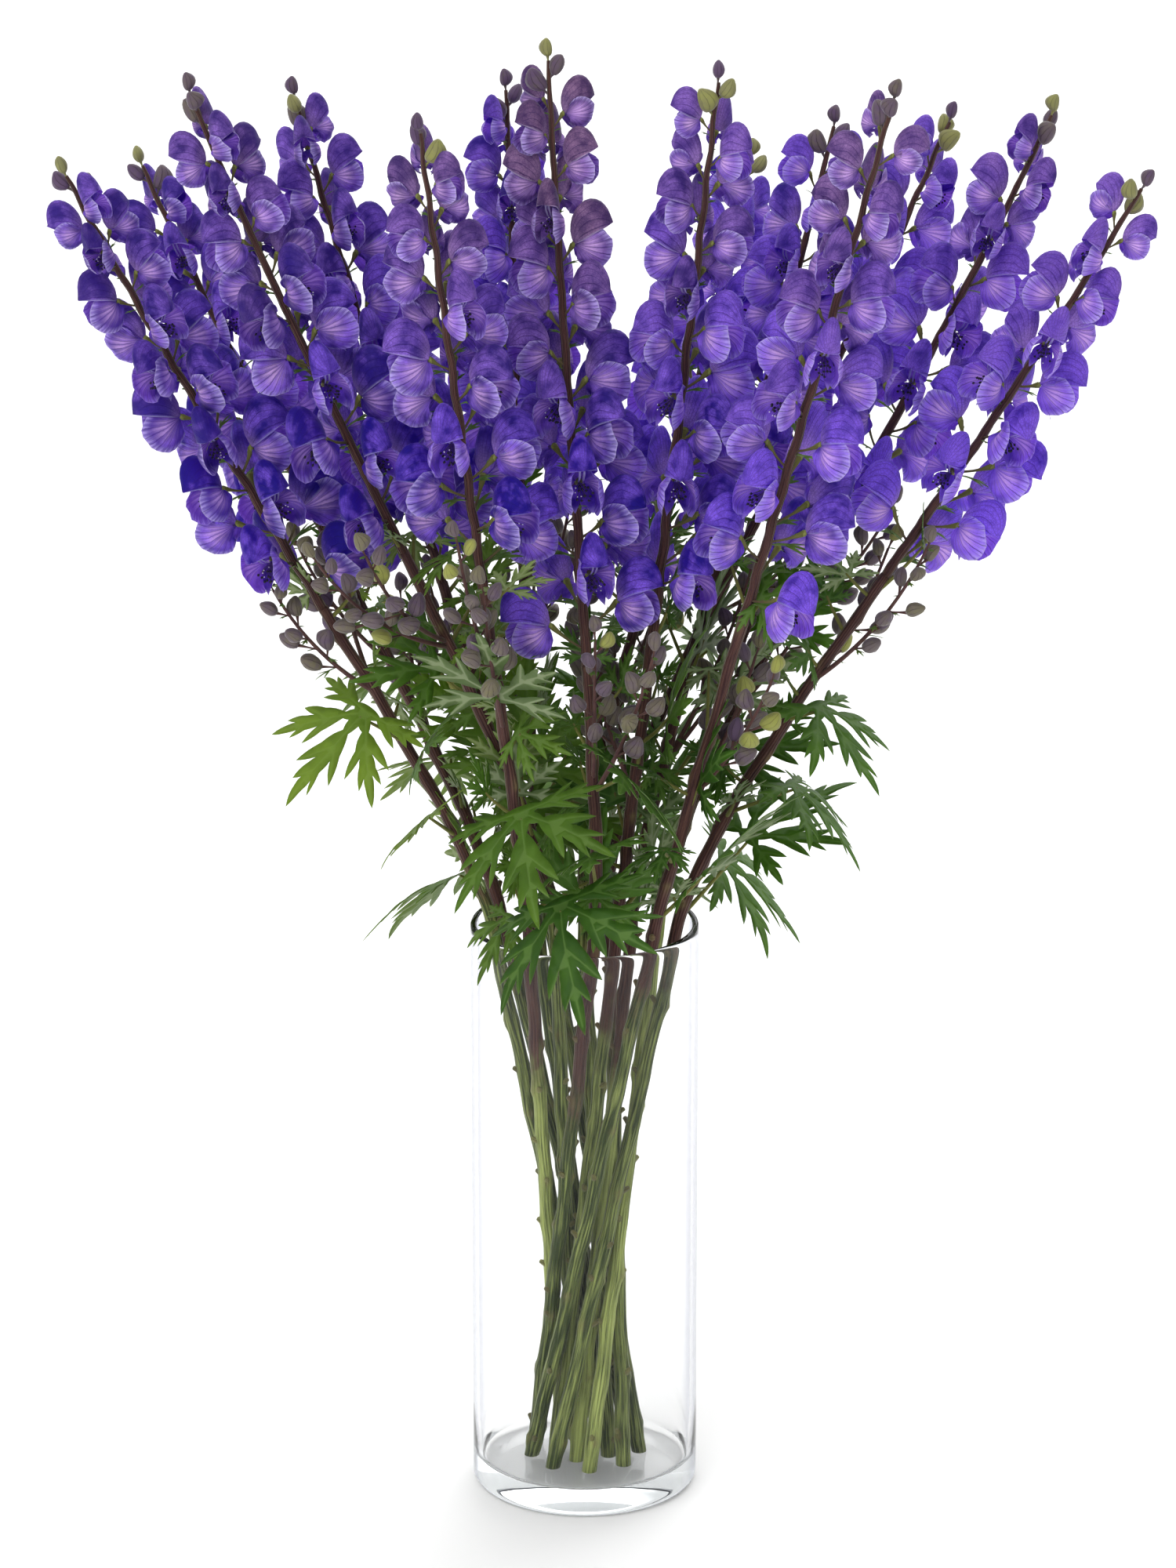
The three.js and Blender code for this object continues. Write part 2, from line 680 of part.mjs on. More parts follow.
for (const stem of stems) {
  const label = String(stem + 1).padStart(2, '0');
  const path = paths[stem];
  const { raceme } = STEMS[stem];
  const stalk = stretch(path, path.length, raceme + SEAT_GAP, STALK_SIDES);
  const rachis = stretch(path, raceme, 0, RACHIS_SIDES);
  const leafyStem = join([stalk, ...leaves[stem].map(leafSolid), spraySolid(sprays[stem])]);
  const flowering = join([rachis, ...flowers[stem].map(flowerSolid), ...tipBuds(stem).map(budSolid)]);
  addNode(`stem_${label}`, geometryFrom(leafyStem), FOLIAGE);
  addNode(`raceme_${label}`, geometryFrom(flowering), PETALS);
}

export default part;
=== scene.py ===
"""Monkshood in a vase: fine petals, leaves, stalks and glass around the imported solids.

The scene is in metres, +Z up, and -Y is the front. The plants are laid out in millimetres,
by the rules that place the solids, and each finished piece is scaled to metres at the end.
"""

import logging
import math
from collections.abc import Iterable, Iterator
from dataclasses import dataclass, field
from enum import Enum

import bpy
import numpy as np
from mathutils.geometry import delaunay_2d_cdt
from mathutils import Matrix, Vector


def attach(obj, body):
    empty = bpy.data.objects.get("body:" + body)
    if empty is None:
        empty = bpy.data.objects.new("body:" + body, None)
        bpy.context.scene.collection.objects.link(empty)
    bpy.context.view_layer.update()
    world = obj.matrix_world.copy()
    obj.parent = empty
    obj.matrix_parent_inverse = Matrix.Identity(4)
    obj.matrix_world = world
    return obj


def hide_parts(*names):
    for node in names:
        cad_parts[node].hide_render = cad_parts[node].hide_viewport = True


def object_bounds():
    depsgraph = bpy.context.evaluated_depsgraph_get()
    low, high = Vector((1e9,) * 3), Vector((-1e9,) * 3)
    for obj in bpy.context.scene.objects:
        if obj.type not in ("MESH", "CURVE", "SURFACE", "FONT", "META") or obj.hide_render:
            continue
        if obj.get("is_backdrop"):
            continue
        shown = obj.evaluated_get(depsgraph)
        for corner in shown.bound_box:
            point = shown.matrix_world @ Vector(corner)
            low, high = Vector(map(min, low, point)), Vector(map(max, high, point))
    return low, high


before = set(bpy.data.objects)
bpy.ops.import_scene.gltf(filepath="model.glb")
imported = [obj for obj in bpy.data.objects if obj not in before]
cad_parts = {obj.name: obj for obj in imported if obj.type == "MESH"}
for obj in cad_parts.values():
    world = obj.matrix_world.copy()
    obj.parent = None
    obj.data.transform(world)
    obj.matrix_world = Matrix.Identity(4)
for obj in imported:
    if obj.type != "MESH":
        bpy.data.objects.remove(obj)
CAD_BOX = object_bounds()

log = logging.getLogger("monkshood")

Points = np.ndarray
Faces = np.ndarray
Colour = tuple[float, float, float]

METRE = 0.001
UP = np.array([0.0, 0.0, 1.0])
GOLDEN_ANGLE = 137.5


class Slot(Enum):
    """The record's material slots."""

    GLASS = "glass"
    FOLIAGE = "foliage"
    PETALS = "petals"


class Kind(Enum):
    """What a filled place belongs to."""

    STALK = 0
    RACEME = 1
    LEAFY = 2


# Numbers and directions


def scatter(a: float, b: float) -> float:
    """Return a repeatable draw between 0 and 1."""
    value = math.sin(a * 12.9898 + b * 78.233) * 43758.5453
    return value - math.floor(value)


def draw(a: float, b: float, low: float, high: float) -> float:
    """Return a repeatable draw between two numbers."""
    return low + (high - low) * scatter(a, b)


def lerp(a: float, b: float, share: float) -> float:
    """Return the number a share of the way from a to b."""
    return (1 - share) * a + share * b


def unit(vector: Points) -> Points:
    """Return a vector made one long."""
    return vector / math.sqrt(float(vector @ vector))


def cross(a: Points, b: Points) -> Points:
    """Return the cross product of two vectors.

    Args:
        a: The first vectors.
        b: The second ones.

    Returns:
        The cross product of two vectors.
    """
    return np.array([
        a[1] * b[2] - a[2] * b[1],
        a[2] * b[0] - a[0] * b[2],
        a[0] * b[1] - a[1] * b[0],
    ])


def bearing_vector(degrees: float) -> Points:
    """Return the level direction of a bearing, counted from +X."""
    turn = math.radians(degrees)
    return np.array([math.cos(turn), math.sin(turn), 0.0])


def square_to(heading: Points, degrees: float) -> tuple[Points, Points]:
    """Return two directions square to a heading.

    Args:
        heading: The direction that both are square to.
        degrees: The bearing that the first one points to as far as it can.

    Returns:
        The direction towards the bearing, and the one to its side.
    """
    out = bearing_vector(degrees)
    out = unit(out - heading * float(out @ heading))
    return out, cross(heading, out)


def smooth_through(points: Points, shares: Points) -> Points:
    """Return points on a smooth curve through given points.

    Args:
        points: The points that the curve passes, one a row.
        shares: Where to read the curve, from 0 at its start to 1 at its end.

    Returns:
        One point a share.
    """
    padded = np.vstack([2 * points[0] - points[1], points, 2 * points[-1] - points[-2]])
    place = np.clip(np.asarray(shares), 0, 1) * (len(points) - 1)
    first = np.minimum(place.astype(int), len(points) - 2)
    t = (place - first)[:, None]
    a, b, c, d = (padded[first + k] for k in range(4))
    return 0.5 * (2 * b + (c - a) * t + (2 * a - 5 * b + 4 * c - d) * t**2
                  + (3 * b - a - 3 * c + d) * t**3)


# Layout of the plants, in millimetres


@dataclass(frozen=True)
class VaseSize:
    """The vase's sizes, and the air left where stems meet it."""

    radius: float = 60
    height: float = 315
    wall: float = 3.5
    floor: float = 14
    foot_round: float = 5
    seat_gap: float = 0.3


@dataclass(frozen=True)
class Ring:
    """A ring of stems: its radius at the bundle's waist and at the rim, and leaves a stem."""

    waist: float
    rim: float
    leaves: int


@dataclass(frozen=True)
class Stem:
    """One cut stem.

    Attributes:
        ring: The ring that it stands in.
        bearing: Its bearing at the rim.
        tip: The tip of its raceme.
        raceme: The raceme's length.
        bare: Degrees of the side towards the front that its flowers turn from.
        dusk: How far its young flowers are brown-purple rather than blue.
    """

    ring: Ring
    bearing: float
    tip: tuple[float, float, float]
    raceme: float
    bare: float
    dusk: float


VASE = VaseSize()
OUTER = Ring(waist=18.2, rim=49.5, leaves=3)
INNER = Ring(waist=8.8, rim=27, leaves=3)
STEMS = (
    Stem(OUTER, 195, (-257, -60, 726), 262, 0, 0.35),
    Stem(OUTER, 155, (-230, 90, 699), 230, 0, 0.25),
    Stem(INNER, 236, (-194, -70, 769), 262, 0, 0.55),
    Stem(INNER, 164, (-148, 40, 745), 262, 0, 0.45),
    Stem(OUTER, 235, (-80, -110, 758), 240, 70, 0.75),
    Stem(OUTER, 275, (-18, -40, 780), 310, 60, 1.0),
    Stem(OUTER, 115, (-41, 110, 735), 240, 0, 0.3),
    Stem(INNER, 308, (66, -60, 773), 285, 70, 0.6),
    Stem(INNER, 92, (88, 150, 690), 210, 0, 0.2),
    Stem(INNER, 20, (129, 80, 722), 230, 0, 0.3),
    Stem(OUTER, 315, (150, -110, 774), 285, 60, 0.85),
    Stem(OUTER, 75, (192, 140, 712), 230, 0, 0.35),
    Stem(OUTER, 35, (240, 60, 732), 240, 0, 0.6),
    Stem(OUTER, -5, (280, -20, 711), 240, 0, 0.5),
)


class StemPath:
    """A stem's path from its foot, straight to the rim and then in one bend to its tip."""

    WAIST_HEIGHT = 115
    RIM_HANDLE = 0.16
    TIP_HANDLE = 0.42
    TIP_RISE = 0.05
    STEPS = 48
    TIP_THICKNESS = 1.0
    FOOT_THICKNESS = 4.1

    def __init__(self, stem: Stem) -> None:
        """Lay the path of one stem.

        Args:
            stem: The stem's number.
        """
        foot, rim = self._straight_run(stem)
        tip = np.array(stem.tip, float)
        reach = math.dist(tip, rim)
        leave = unit(rim - foot)
        arrive = unit(unit(tip - rim) + UP * self.TIP_RISE)
        corners = (rim, rim + leave * self.RIM_HANDLE * reach,
                   tip - arrive * self.TIP_HANDLE * reach, tip)
        t = np.linspace(0, 1, self.STEPS + 1)[:, None]
        weights = ((1 - t)**3, 3 * (1 - t)**2 * t, 3 * (1 - t) * t**2, t**3)
        bend = sum(weight * corner for weight, corner in zip(weights, corners))
        self.points = np.vstack([foot, bend])
        steps = np.sqrt((np.diff(self.points, axis=0)**2).sum(axis=1))
        self.marks = np.concatenate([[0.0], np.cumsum(steps)])
        self.length = float(self.marks[-1])
        self.rim_drop = self.length - float(self.marks[1])

    def _straight_run(self, stem: Stem) -> tuple[Points, Points]:
        """Return the foot and rim points of a stem, on a ruling of the spiral bundle.

        Args:
            stem: The stem's number.

        Returns:
            The foot and rim points of a stem, on a ruling of the spiral bundle.
        """
        rise = VASE.height - self.WAIST_HEIGHT
        swing = math.sqrt(stem.ring.rim**2 - stem.ring.waist**2)
        turn = stem.bearing - math.degrees(math.atan2(swing, stem.ring.waist))

        def at(height: float) -> Points:
            """Return the point of the ruling at a height.

            Args:
                height: The height above the floor of the vase.

            Returns:
                The point of the ruling at a height.
            """
            side = swing * (height - self.WAIST_HEIGHT) / rise
            level = bearing_vector(turn) * stem.ring.waist + bearing_vector(turn + 90) * side
            return level + UP * height

        return at(VASE.floor + VASE.seat_gap), at(VASE.height)

    def point(self, drop: float) -> Points:
        """Return the point at a distance down from the tip.

        Args:
            drop: The distance down from the tip, in millimetres.

        Returns:
            The point at a distance down from the tip.
        """
        mark = self.length - drop
        i = int(np.clip(np.searchsorted(self.marks, mark), 1, len(self.marks) - 1))
        share = (mark - self.marks[i - 1]) / (self.marks[i] - self.marks[i - 1])
        return self.points[i - 1] + (self.points[i] - self.points[i - 1]) * share

    def heading(self, drop: float) -> Points:
        """Return the direction towards the tip at a distance down from it."""
        return unit(self.point(drop - 3) - self.point(drop + 3))

    def thickness(self, drop: float) -> float:
        """Return the stalk's radius at a distance down from the tip."""
        share = (max(drop, 0) / self.length)**0.55
        return lerp(self.TIP_THICKNESS, self.FOOT_THICKNESS, share)


@dataclass(frozen=True)
class Place:
    """A place and a pose: the origin, three square directions and a scale."""

    origin: Points
    axes: Points
    scale: float

    @classmethod
    def facing(cls, origin: Points, facing: Points, up: Points, scale: float) -> "Place":
        """Return a place whose x faces a direction and whose z points up another.

        Args:
            origin: Where its origin lies.
            facing: The direction that its x takes.
            up: The direction that its z keeps close to.
            scale: Its scale.

        Returns:
            A place whose x faces a direction and whose z points up another.
        """
        z = unit(up)
        x = unit(facing - z * float(facing @ z))
        return cls(origin, np.array([x, cross(z, x), z]), scale)

    def put(self, points: Points) -> Points:
        """Return points of this place's own frame as points of the scene."""
        return self.origin + (points * self.scale) @ self.axes


@dataclass(frozen=True)
class Item:
    """A thing that takes up room: where it grows from, where it is, and balls that cover it."""

    root: Points
    along: Points
    place: Place
    centres: Points
    radii: Points


@dataclass(frozen=True)
class Bud:
    """A closed bud: its root, direction, stalk length and size."""

    root: Points
    along: Points
    length: float
    size: float


@dataclass(frozen=True)
class Spray(Item):
    """A side branchlet with its corners and its buds."""

    middle: Points
    end: Points
    buds: tuple[Bud, ...]


@dataclass(frozen=True)
class SpraySeeds:
    """The numbers that a spray's own draws start from."""

    drop: int = 5
    bearing: int = 6
    length: int = 7
    scale: int = 8


class Room:
    """The space that is already filled, as balls."""

    CAPACITY = 12000

    def __init__(self) -> None:
        """Start empty."""
        self.centres = np.zeros((self.CAPACITY, 3))
        self.radii = np.zeros(self.CAPACITY)
        self.stems = np.zeros(self.CAPACITY, int)
        self.kinds = np.zeros(self.CAPACITY, int)
        self.count = 0

    def fill(self, centres: Points, radii: Points, stem: int, kind: Kind) -> None:
        """Add the balls of one thing.

        Args:
            centres: The balls' centres.
            radii: Their radii.
            stem: The stem's number.
            kind: What the thing is.
        """
        rows = slice(self.count, self.count + len(radii))
        self.centres[rows] = centres
        self.radii[rows] = radii
        self.stems[rows] = stem
        self.kinds[rows] = kind.value
        self.count += len(radii)

    def bite(self, item: Item, stem: int, kind: Kind, press: float) -> float:
        """Return how deep the worst of an item's balls bites into the vase or its neighbours.

        Args:
            item: The item, as its balls.
            stem: The stem's number.
            kind: What the item is.
            press: How far it may press into its like on the same stem.

        Returns:
            How deep the worst of an item's balls bites into the vase or its neighbours.
        """
        level = np.hypot(item.centres[:, 0], item.centres[:, 1])
        across = level - (VASE.radius - VASE.wall / 2)
        above = np.maximum(0, item.centres[:, 2] - VASE.height)
        walls = item.radii + VASE.wall / 2 - np.hypot(across, above)
        depth = max(0.0, float(walls.max()))
        centres, radii = self.centres[:self.count], self.radii[:self.count]
        low = (item.centres - item.radii[:, None]).min(axis=0)
        high = (item.centres + item.radii[:, None]).max(axis=0)
        near = ((centres > low - radii[:, None]) & (centres < high + radii[:, None])).all(axis=1)
        own = self.stems[:self.count] == stem
        near &= ~(own & (self.kinds[:self.count] == Kind.STALK.value))
        if not near.any():
            return depth
        like = own[near] & (self.kinds[:self.count][near] == kind.value)
        ease = np.where(like, press, 0.0)
        gaps = np.sqrt(((item.centres[:, None] - centres[near][None])**2).sum(axis=2))
        bites = item.radii[:, None] + radii[near][None] - gaps - ease[None]
        return max(depth, float(bites.max()))

    def first_clear(self, tries: Iterable[Item], stem: int, kind: Kind, press: float,
                    limit: float = math.inf) -> Item | None:
        """Fit the first item that bites into nothing, or else the one that bites least.

        Args:
            tries: The item in its possible places, best first.
            stem: The stem that it grows on.
            kind: What it belongs to.
            press: How far it may press into its like on the same stem.
            limit: The deepest bite that is still let be.

        Returns:
            The item where it was fitted, or None where it would bite too deep.
        """
        best: Item | None = None
        least = math.inf
        for item in tries:
            depth = self.bite(item, stem, kind, press)
            if depth < least:
                best, least = item, depth
            if depth == 0:
                break
        if least > limit:
            return None
        self.fill(best.centres, best.radii, stem, kind)
        return best


def swings(*angles: float) -> tuple[float, ...]:
    """Return 0 and then each angle to one side and the other."""
    return (0.0,) + tuple(turn for angle in angles for turn in (angle, -angle))


class Layout:
    """Where every stalk, flower, leaf, spray and tip bud is, in millimetres."""

    FLOWER_PITCH = 9.6
    PITCH_GROWTH = 0.009
    BARE_TIP = 26
    TIP_BUDS = 3
    FLOWER_BALLS = np.array([[9, 0, 15, 13.2], [13, 0, 1, 11.4], [14.5, 0, -8, 6.8]])
    FLOWER_PRESS = 6
    FLOWER_SIZES = (1, 0.88, 0.76)
    FLOWER_REACHES = (1, 1.35, 0.75)
    FLOWER_TURNS = swings(18, 36, 54, 75, 100)

    LOBES = ((-96, 40), (-48, 54), (0, 62), (48, 54), (96, 40))
    SINUS_REACH = 0.26
    TOOTH_REACH = 0.66
    TOOTH_SWING = 19
    LEAF_DROOP = 0.0026
    RISING_SHARE = 0.55
    PETIOLE_BALLS = 8
    LEAF_TURNS = swings(22, 45, 70, 100, 140) + (180,)
    LEAF_PITCHES = swings(28, 50)
    LEAF_REACHES = (1, 1.5, 0.7, 2.1)
    LEAF_SIZES = (1, 0.84, 0.7, 0.56, 0.42)
    SMALL_LEAVES = 10

    SPRAY_BUDS = 8
    SPRAY_TURNS = swings(20, 40, 60, 80, 105, 130, 155) + (180,)
    SPRAY_LEANS = (28, 40, 18, 52)
    SPRAY_PRESS = 8

    def __init__(self) -> None:
        """Lay the stalks and then fit flowers, leaves and sprays clear of one another."""
        self.room = Room()
        self.paths = [StemPath(stem) for stem in STEMS]
        self.leaf_balls = self._leaf_balls()
        for stem, path in enumerate(self.paths):
            drops = np.arange(0, path.length, 5)
            centres = np.array([path.point(drop) for drop in drops])
            radii = np.array([path.thickness(drop) + 1.2 for drop in drops])
            self.room.fill(centres, radii, stem, Kind.STALK)
        count = range(len(STEMS))
        self.flowers = [list(self._raceme(stem)) for stem in count]
        self.leaves = [list(self._foliage(stem)) for stem in count]
        self.sprays = [[self._spray(stem, SpraySeeds())] for stem in count]
        self.tips = [list(self._tip_buds(stem)) for stem in count]
        for stem in count:
            second = self._spray(stem, SpraySeeds(drop=105, bearing=106, length=107, scale=108), 1.5)
            self.sprays[stem].extend([second] if second else [])
        for stem in count:
            self.leaves[stem].extend(self._small_leaves(stem))

    def outward(self, stem: int) -> float:
        """Return the bearing that a stem leans to."""
        return math.degrees(math.atan2(STEMS[stem].tip[1], STEMS[stem].tip[0]))

    def _raceme(self, stem: int) -> Iterator[Item]:
        """Fit a stem's flowers, from the foot of its raceme to the tip.

        Args:
            stem: The stem's number.

        Returns:
            The flowers.
        """
        length, bare = STEMS[stem].raceme, STEMS[stem].bare
        pitch = self.FLOWER_PITCH + self.PITCH_GROWTH * max(0, STEMS[stem].tip[0])
        count = round(length / pitch)
        for i in range(count):
            age = i / (count - 1)
            turn = ((i * GOLDEN_ANGLE + 360 * scatter(stem, 1)) % 360) / 360
            site = {
                "drop": lerp(length - 8, self.BARE_TIP, age**0.95),
                "bearing": -90 + bare / 2 + turn * (360 - bare),
                "rise": lerp(34, 52, age) + draw(stem, i + 40, -6, 6),
                "pedicel": lerp(21, 8, min(1, age * 1.5)) + draw(stem, i + 80, -2, 2),
                "nod": lerp(16, 4, age) + draw(stem, i + 120, -6, 6),
                "scale": lerp(1.04, 0.7, age**3) * draw(stem, i + 160, 0.94, 1.06),
            }
            tries = (
                self._flower(stem, site, turned, reach, size)
                for size in self.FLOWER_SIZES
                for reach in self.FLOWER_REACHES
                for turned in self.FLOWER_TURNS
            )
            yield self.room.first_clear(tries, stem, Kind.RACEME, self.FLOWER_PRESS)

    def _flower(self, stem: int, site: dict[str, float], turn: float, reach: float,
                size: float) -> Item:
        """Return a flower at a site, turned about the rachis and reached out from it.

        Args:
            stem: The stem's number.
            site: Its draws: where it grows and how it stands.
            turn: Degrees that it is turned by to find room.
            reach: How far its stalk is stretched to find room.
            size: How far it is shrunk to find room.

        Returns:
            A flower at a site, turned about the rachis and reached out from it.
        """
        path = self.paths[stem]
        root = path.point(site["drop"])
        heading = path.heading(site["drop"])
        out, _ = square_to(heading, site["bearing"] + turn)
        rise, nod = math.radians(site["rise"]), math.radians(site["nod"])
        along = out * math.cos(rise) + heading * math.sin(rise)
        origin = root + along * (site["pedicel"] * reach + path.thickness(site["drop"]))
        upright = unit(heading * 0.75 + UP * 0.25)
        up = upright * math.cos(nod) + out * math.sin(nod)
        place = Place.facing(origin, out, up, site["scale"] * size)
        centres = np.vstack([place.put(self.FLOWER_BALLS[:, :3]), root + (origin - root) * 0.6])
        radii = np.append(self.FLOWER_BALLS[:, 3] * place.scale, 2.2)
        return Item(root, along, place, centres, radii)

    def on_blade(self, bearing: float, reach: float) -> Points:
        """Return a point of the drooping leaf blade in the leaf's own frame."""
        turn = math.radians(bearing)
        return np.array([reach * math.cos(turn), reach * math.sin(turn), -self.LEAF_DROOP * reach**2])

    def _leaf_balls(self) -> Points:
        """Return the balls that cover a blade: its palm, its notches, and its lobes' teeth.

        Returns:
            The balls that cover a blade: its palm, its notches, and its lobes' teeth.
        """
        balls = [[0, 0, 0, 6]]
        for i, (bearing, length) in enumerate(self.LOBES):
            for swing, share in ((-self.TOOTH_SWING, self.TOOTH_REACH), (0, 1),
                                 (self.TOOTH_SWING, self.TOOTH_REACH)):
                balls.append([*self.on_blade(bearing + swing, length * share * 0.92), 4])
            if i + 1 < len(self.LOBES):
                following, shorter = self.LOBES[i + 1][0], min(length, self.LOBES[i + 1][1])
                reach = shorter * self.SINUS_REACH * 0.8
                balls.append([*self.on_blade((bearing + following) / 2, reach), 5])
        for bearing, length in self.LOBES:
            for share in (0.2, 0.36, 0.52, 0.68, 0.82):
                balls.append([*self.on_blade(bearing, length * share), 5 if share > 0.7 else 8])
        return np.array(balls, float)

    def _foliage(self, stem: int) -> Iterator[Item]:
        """Fit a stem's leaves, from the rim up to the raceme.

        Args:
            stem: The stem's number.

        Returns:
            The leaves.
        """
        count = STEMS[stem].ring.leaves
        rim_drop = self.paths[stem].rim_drop
        for i in range(count):
            rising = scatter(stem, i + 31) < self.RISING_SHARE
            site = {
                "drop": lerp(rim_drop - 10, STEMS[stem].raceme + 34, i / count)
                + draw(stem, i + 10, -10, 10),
                "bearing": self.outward(stem) + draw(stem, i + 13, -80, 80),
                "climb": draw(stem, i + 16, 35, 72) if rising else draw(stem, i + 16, 10, 50),
                "petiole": draw(stem, i + 19, 14, 38),
                "slope": draw(stem, i + 22, -84, -42) if rising else draw(stem, i + 22, 16, 60),
                "roll": draw(stem, i + 28, -45, 45),
                "scale": lerp(1.15, 0.82, i / count) * draw(stem, i + 25, 0.9, 1.1),
            }
            tries = (
                self._leaf(stem, site, turn, pitch, reach, size)
                for size in self.LEAF_SIZES
                for reach in self.LEAF_REACHES
                for pitch in self.LEAF_PITCHES
                for turn in self.LEAF_TURNS
            )
            yield self.room.first_clear(tries, stem, Kind.LEAFY, 0)

    def _leaf(self, stem: int, site: dict[str, float], turn: float, pitch: float, reach: float,
              size: float) -> Item:
        """Return a leaf at a site, turned, pitched and reached out from it.

        Args:
            stem: The stem's number.
            site: Its draws: where it grows and how it stands.
            turn: Degrees that it is turned by to find room.
            pitch: Degrees that its blade is tipped by to find room.
            reach: How far its stalk is stretched to find room.
            size: How far it is shrunk to find room.

        Returns:
            A leaf at a site, turned, pitched and reached out from it.
        """
        root = self.paths[stem].point(site["drop"])
        out = bearing_vector(site["bearing"] + turn)
        climb = math.radians(site["climb"])
        along = out * math.cos(climb) + UP * math.sin(climb)
        origin = root + along * site["petiole"] * reach
        slope = math.radians(site["slope"] + pitch)
        facing = out * math.cos(slope) - UP * math.sin(slope)
        up = out * math.sin(slope) + UP * math.cos(slope)
        roll = math.radians(site["roll"])
        up = up * math.cos(roll) + cross(facing, up) * math.sin(roll)
        place = Place.facing(origin, facing, up, site["scale"] * size)
        shares = np.arange(1, self.PETIOLE_BALLS + 1)[:, None] / (self.PETIOLE_BALLS + 1)
        centres = np.vstack([place.put(self.leaf_balls[:, :3]), root + (origin - root) * shares])
        radii = np.append(self.leaf_balls[:, 3] * place.scale, np.full(self.PETIOLE_BALLS, 2.2))
        return Item(root, along, place, centres, radii)

    def _small_leaves(self, stem: int) -> Iterator[Item]:
        """Fit the small leaves that fill a stem's skirt, leaving out those with no room.

        Args:
            stem: The stem's number.

        Returns:
            The leaves.
        """
        rim_drop = self.paths[stem].rim_drop
        for i in range(self.SMALL_LEAVES):
            share = (i + 0.5) / self.SMALL_LEAVES
            rising = scatter(stem, i + 231) < 0.7
            site = {
                "drop": lerp(rim_drop - 4, STEMS[stem].raceme - 10, share) + draw(stem, i + 210, -14, 14),
                "bearing": self.outward(stem) + draw(stem, i + 240, -130, 130),
                "climb": draw(stem, i + 250, 30, 70),
                "petiole": draw(stem, i + 260, 8, 24),
                "slope": draw(stem, i + 270, -86, -38) if rising else draw(stem, i + 270, 5, 60),
                "roll": draw(stem, i + 280, -60, 60),
                "scale": lerp(0.74, 0.4, share) * draw(stem, i + 290, 0.85, 1.15),
            }
            tries = (
                self._leaf(stem, site, turn, pitch, reach, size)
                for size in (1, 0.78, 0.6)
                for reach in (1, 1.8)
                for pitch in swings(30)
                for turn in swings(30, 62, 100, 145)
            )
            leaf = self.room.first_clear(tries, stem, Kind.LEAFY, 0, 1.2)
            if leaf:
                yield leaf

    def _spray(self, stem: int, seeds: SpraySeeds, limit: float = math.inf) -> Spray | None:
        """Fit a side spray below a stem's raceme.

        Args:
            stem: The stem's number.
            seeds: The numbers that its draws start from.
            limit: How deep it may bite and still be kept.

        Returns:
            The spray, or None where there is no room.
        """
        site = {
            "drop": STEMS[stem].raceme + draw(stem, seeds.drop, 50, 116),
            "bearing": self.outward(stem) + draw(stem, seeds.bearing, -60, 60),
            "length": draw(stem, seeds.length, 80, 112),
            "scale": draw(stem, seeds.scale, 0.9, 1.1),
        }
        tries = (
            self._branchlet(stem, site, turn, lean)
            for lean in self.SPRAY_LEANS
            for turn in self.SPRAY_TURNS
        )
        return self.room.first_clear(tries, stem, Kind.LEAFY, self.SPRAY_PRESS, limit)

    def _branchlet(self, stem: int, site: dict[str, float], turn: float, lean: float) -> Spray:
        """Return a spray at a site, turned about the stalk and leaning from it.

        Args:
            stem: The stem's number.
            site: Its draws: where it grows and how it stands.
            turn: Degrees that it is turned by to find room.
            lean: Degrees that it leans from the stalk.

        Returns:
            A spray at a site, turned about the stalk and leaning from it.
        """
        path = self.paths[stem]
        root = path.point(site["drop"])
        heading = path.heading(site["drop"])
        out, side = square_to(heading, site["bearing"] + turn)
        start = out * math.sin(math.radians(lean)) + heading * math.cos(math.radians(lean))
        middle = root + start * site["length"] * 0.5
        bend = unit(start + UP)
        end = middle + bend * site["length"] * 0.5
        balls = []
        buds = []
        for i in range(self.SPRAY_BUDS):
            last = i == self.SPRAY_BUDS - 1
            share = lerp(0.3, 1, i / (self.SPRAY_BUDS - 1))
            near = root + (middle - root) * (share * 2)
            far = middle + (end - middle) * (share * 2 - 1)
            on = near if share < 0.5 else far
            swing = math.radians(i * GOLDEN_ANGLE)
            across = out * math.cos(swing) + side * math.sin(swing)
            along = unit(across * (0.1 if last else 0.9) + bend)
            size = lerp(11.5, 8.5, i / (self.SPRAY_BUDS - 1)) * site["scale"]
            length = lerp(10, 5, i / (self.SPRAY_BUDS - 1))
            buds.append(Bud(on, along, length, size))
            balls.append([*(on + along * (length + 0.55 * size)), 0.66 * size])
            balls.append([*on, 2.5])
        for share in (0.2, 0.4, 0.6, 0.8, 1):
            balls.append([*(root + (middle - root) * share), 2.5])
            balls.append([*(middle + (end - middle) * share), 2.5])
        table = np.array(balls)
        place = Place.facing(root, out, start, 1)
        return Spray(root, start, place, table[:, :3], table[:, 3], middle, end, tuple(buds))

    def _tip_buds(self, stem: int) -> Iterator[Bud]:
        """Place the closed buds at the tip of a raceme.

        Args:
            stem: The stem's number.

        Returns:
            The buds.
        """
        path = self.paths[stem]
        for i in range(self.TIP_BUDS):
            share = i / (self.TIP_BUDS - 1)
            drop = lerp(self.BARE_TIP - 8, 1, share)
            heading = path.heading(max(drop, 3))
            out, _ = square_to(heading, i * GOLDEN_ANGLE + 360 * scatter(stem, 2))
            along = unit(out * (0.15 if i == self.TIP_BUDS - 1 else 0.8) + heading)
            yield Bud(path.point(drop), along, lerp(5, 3.5, share), lerp(11.5, 8, share))


# Meshes


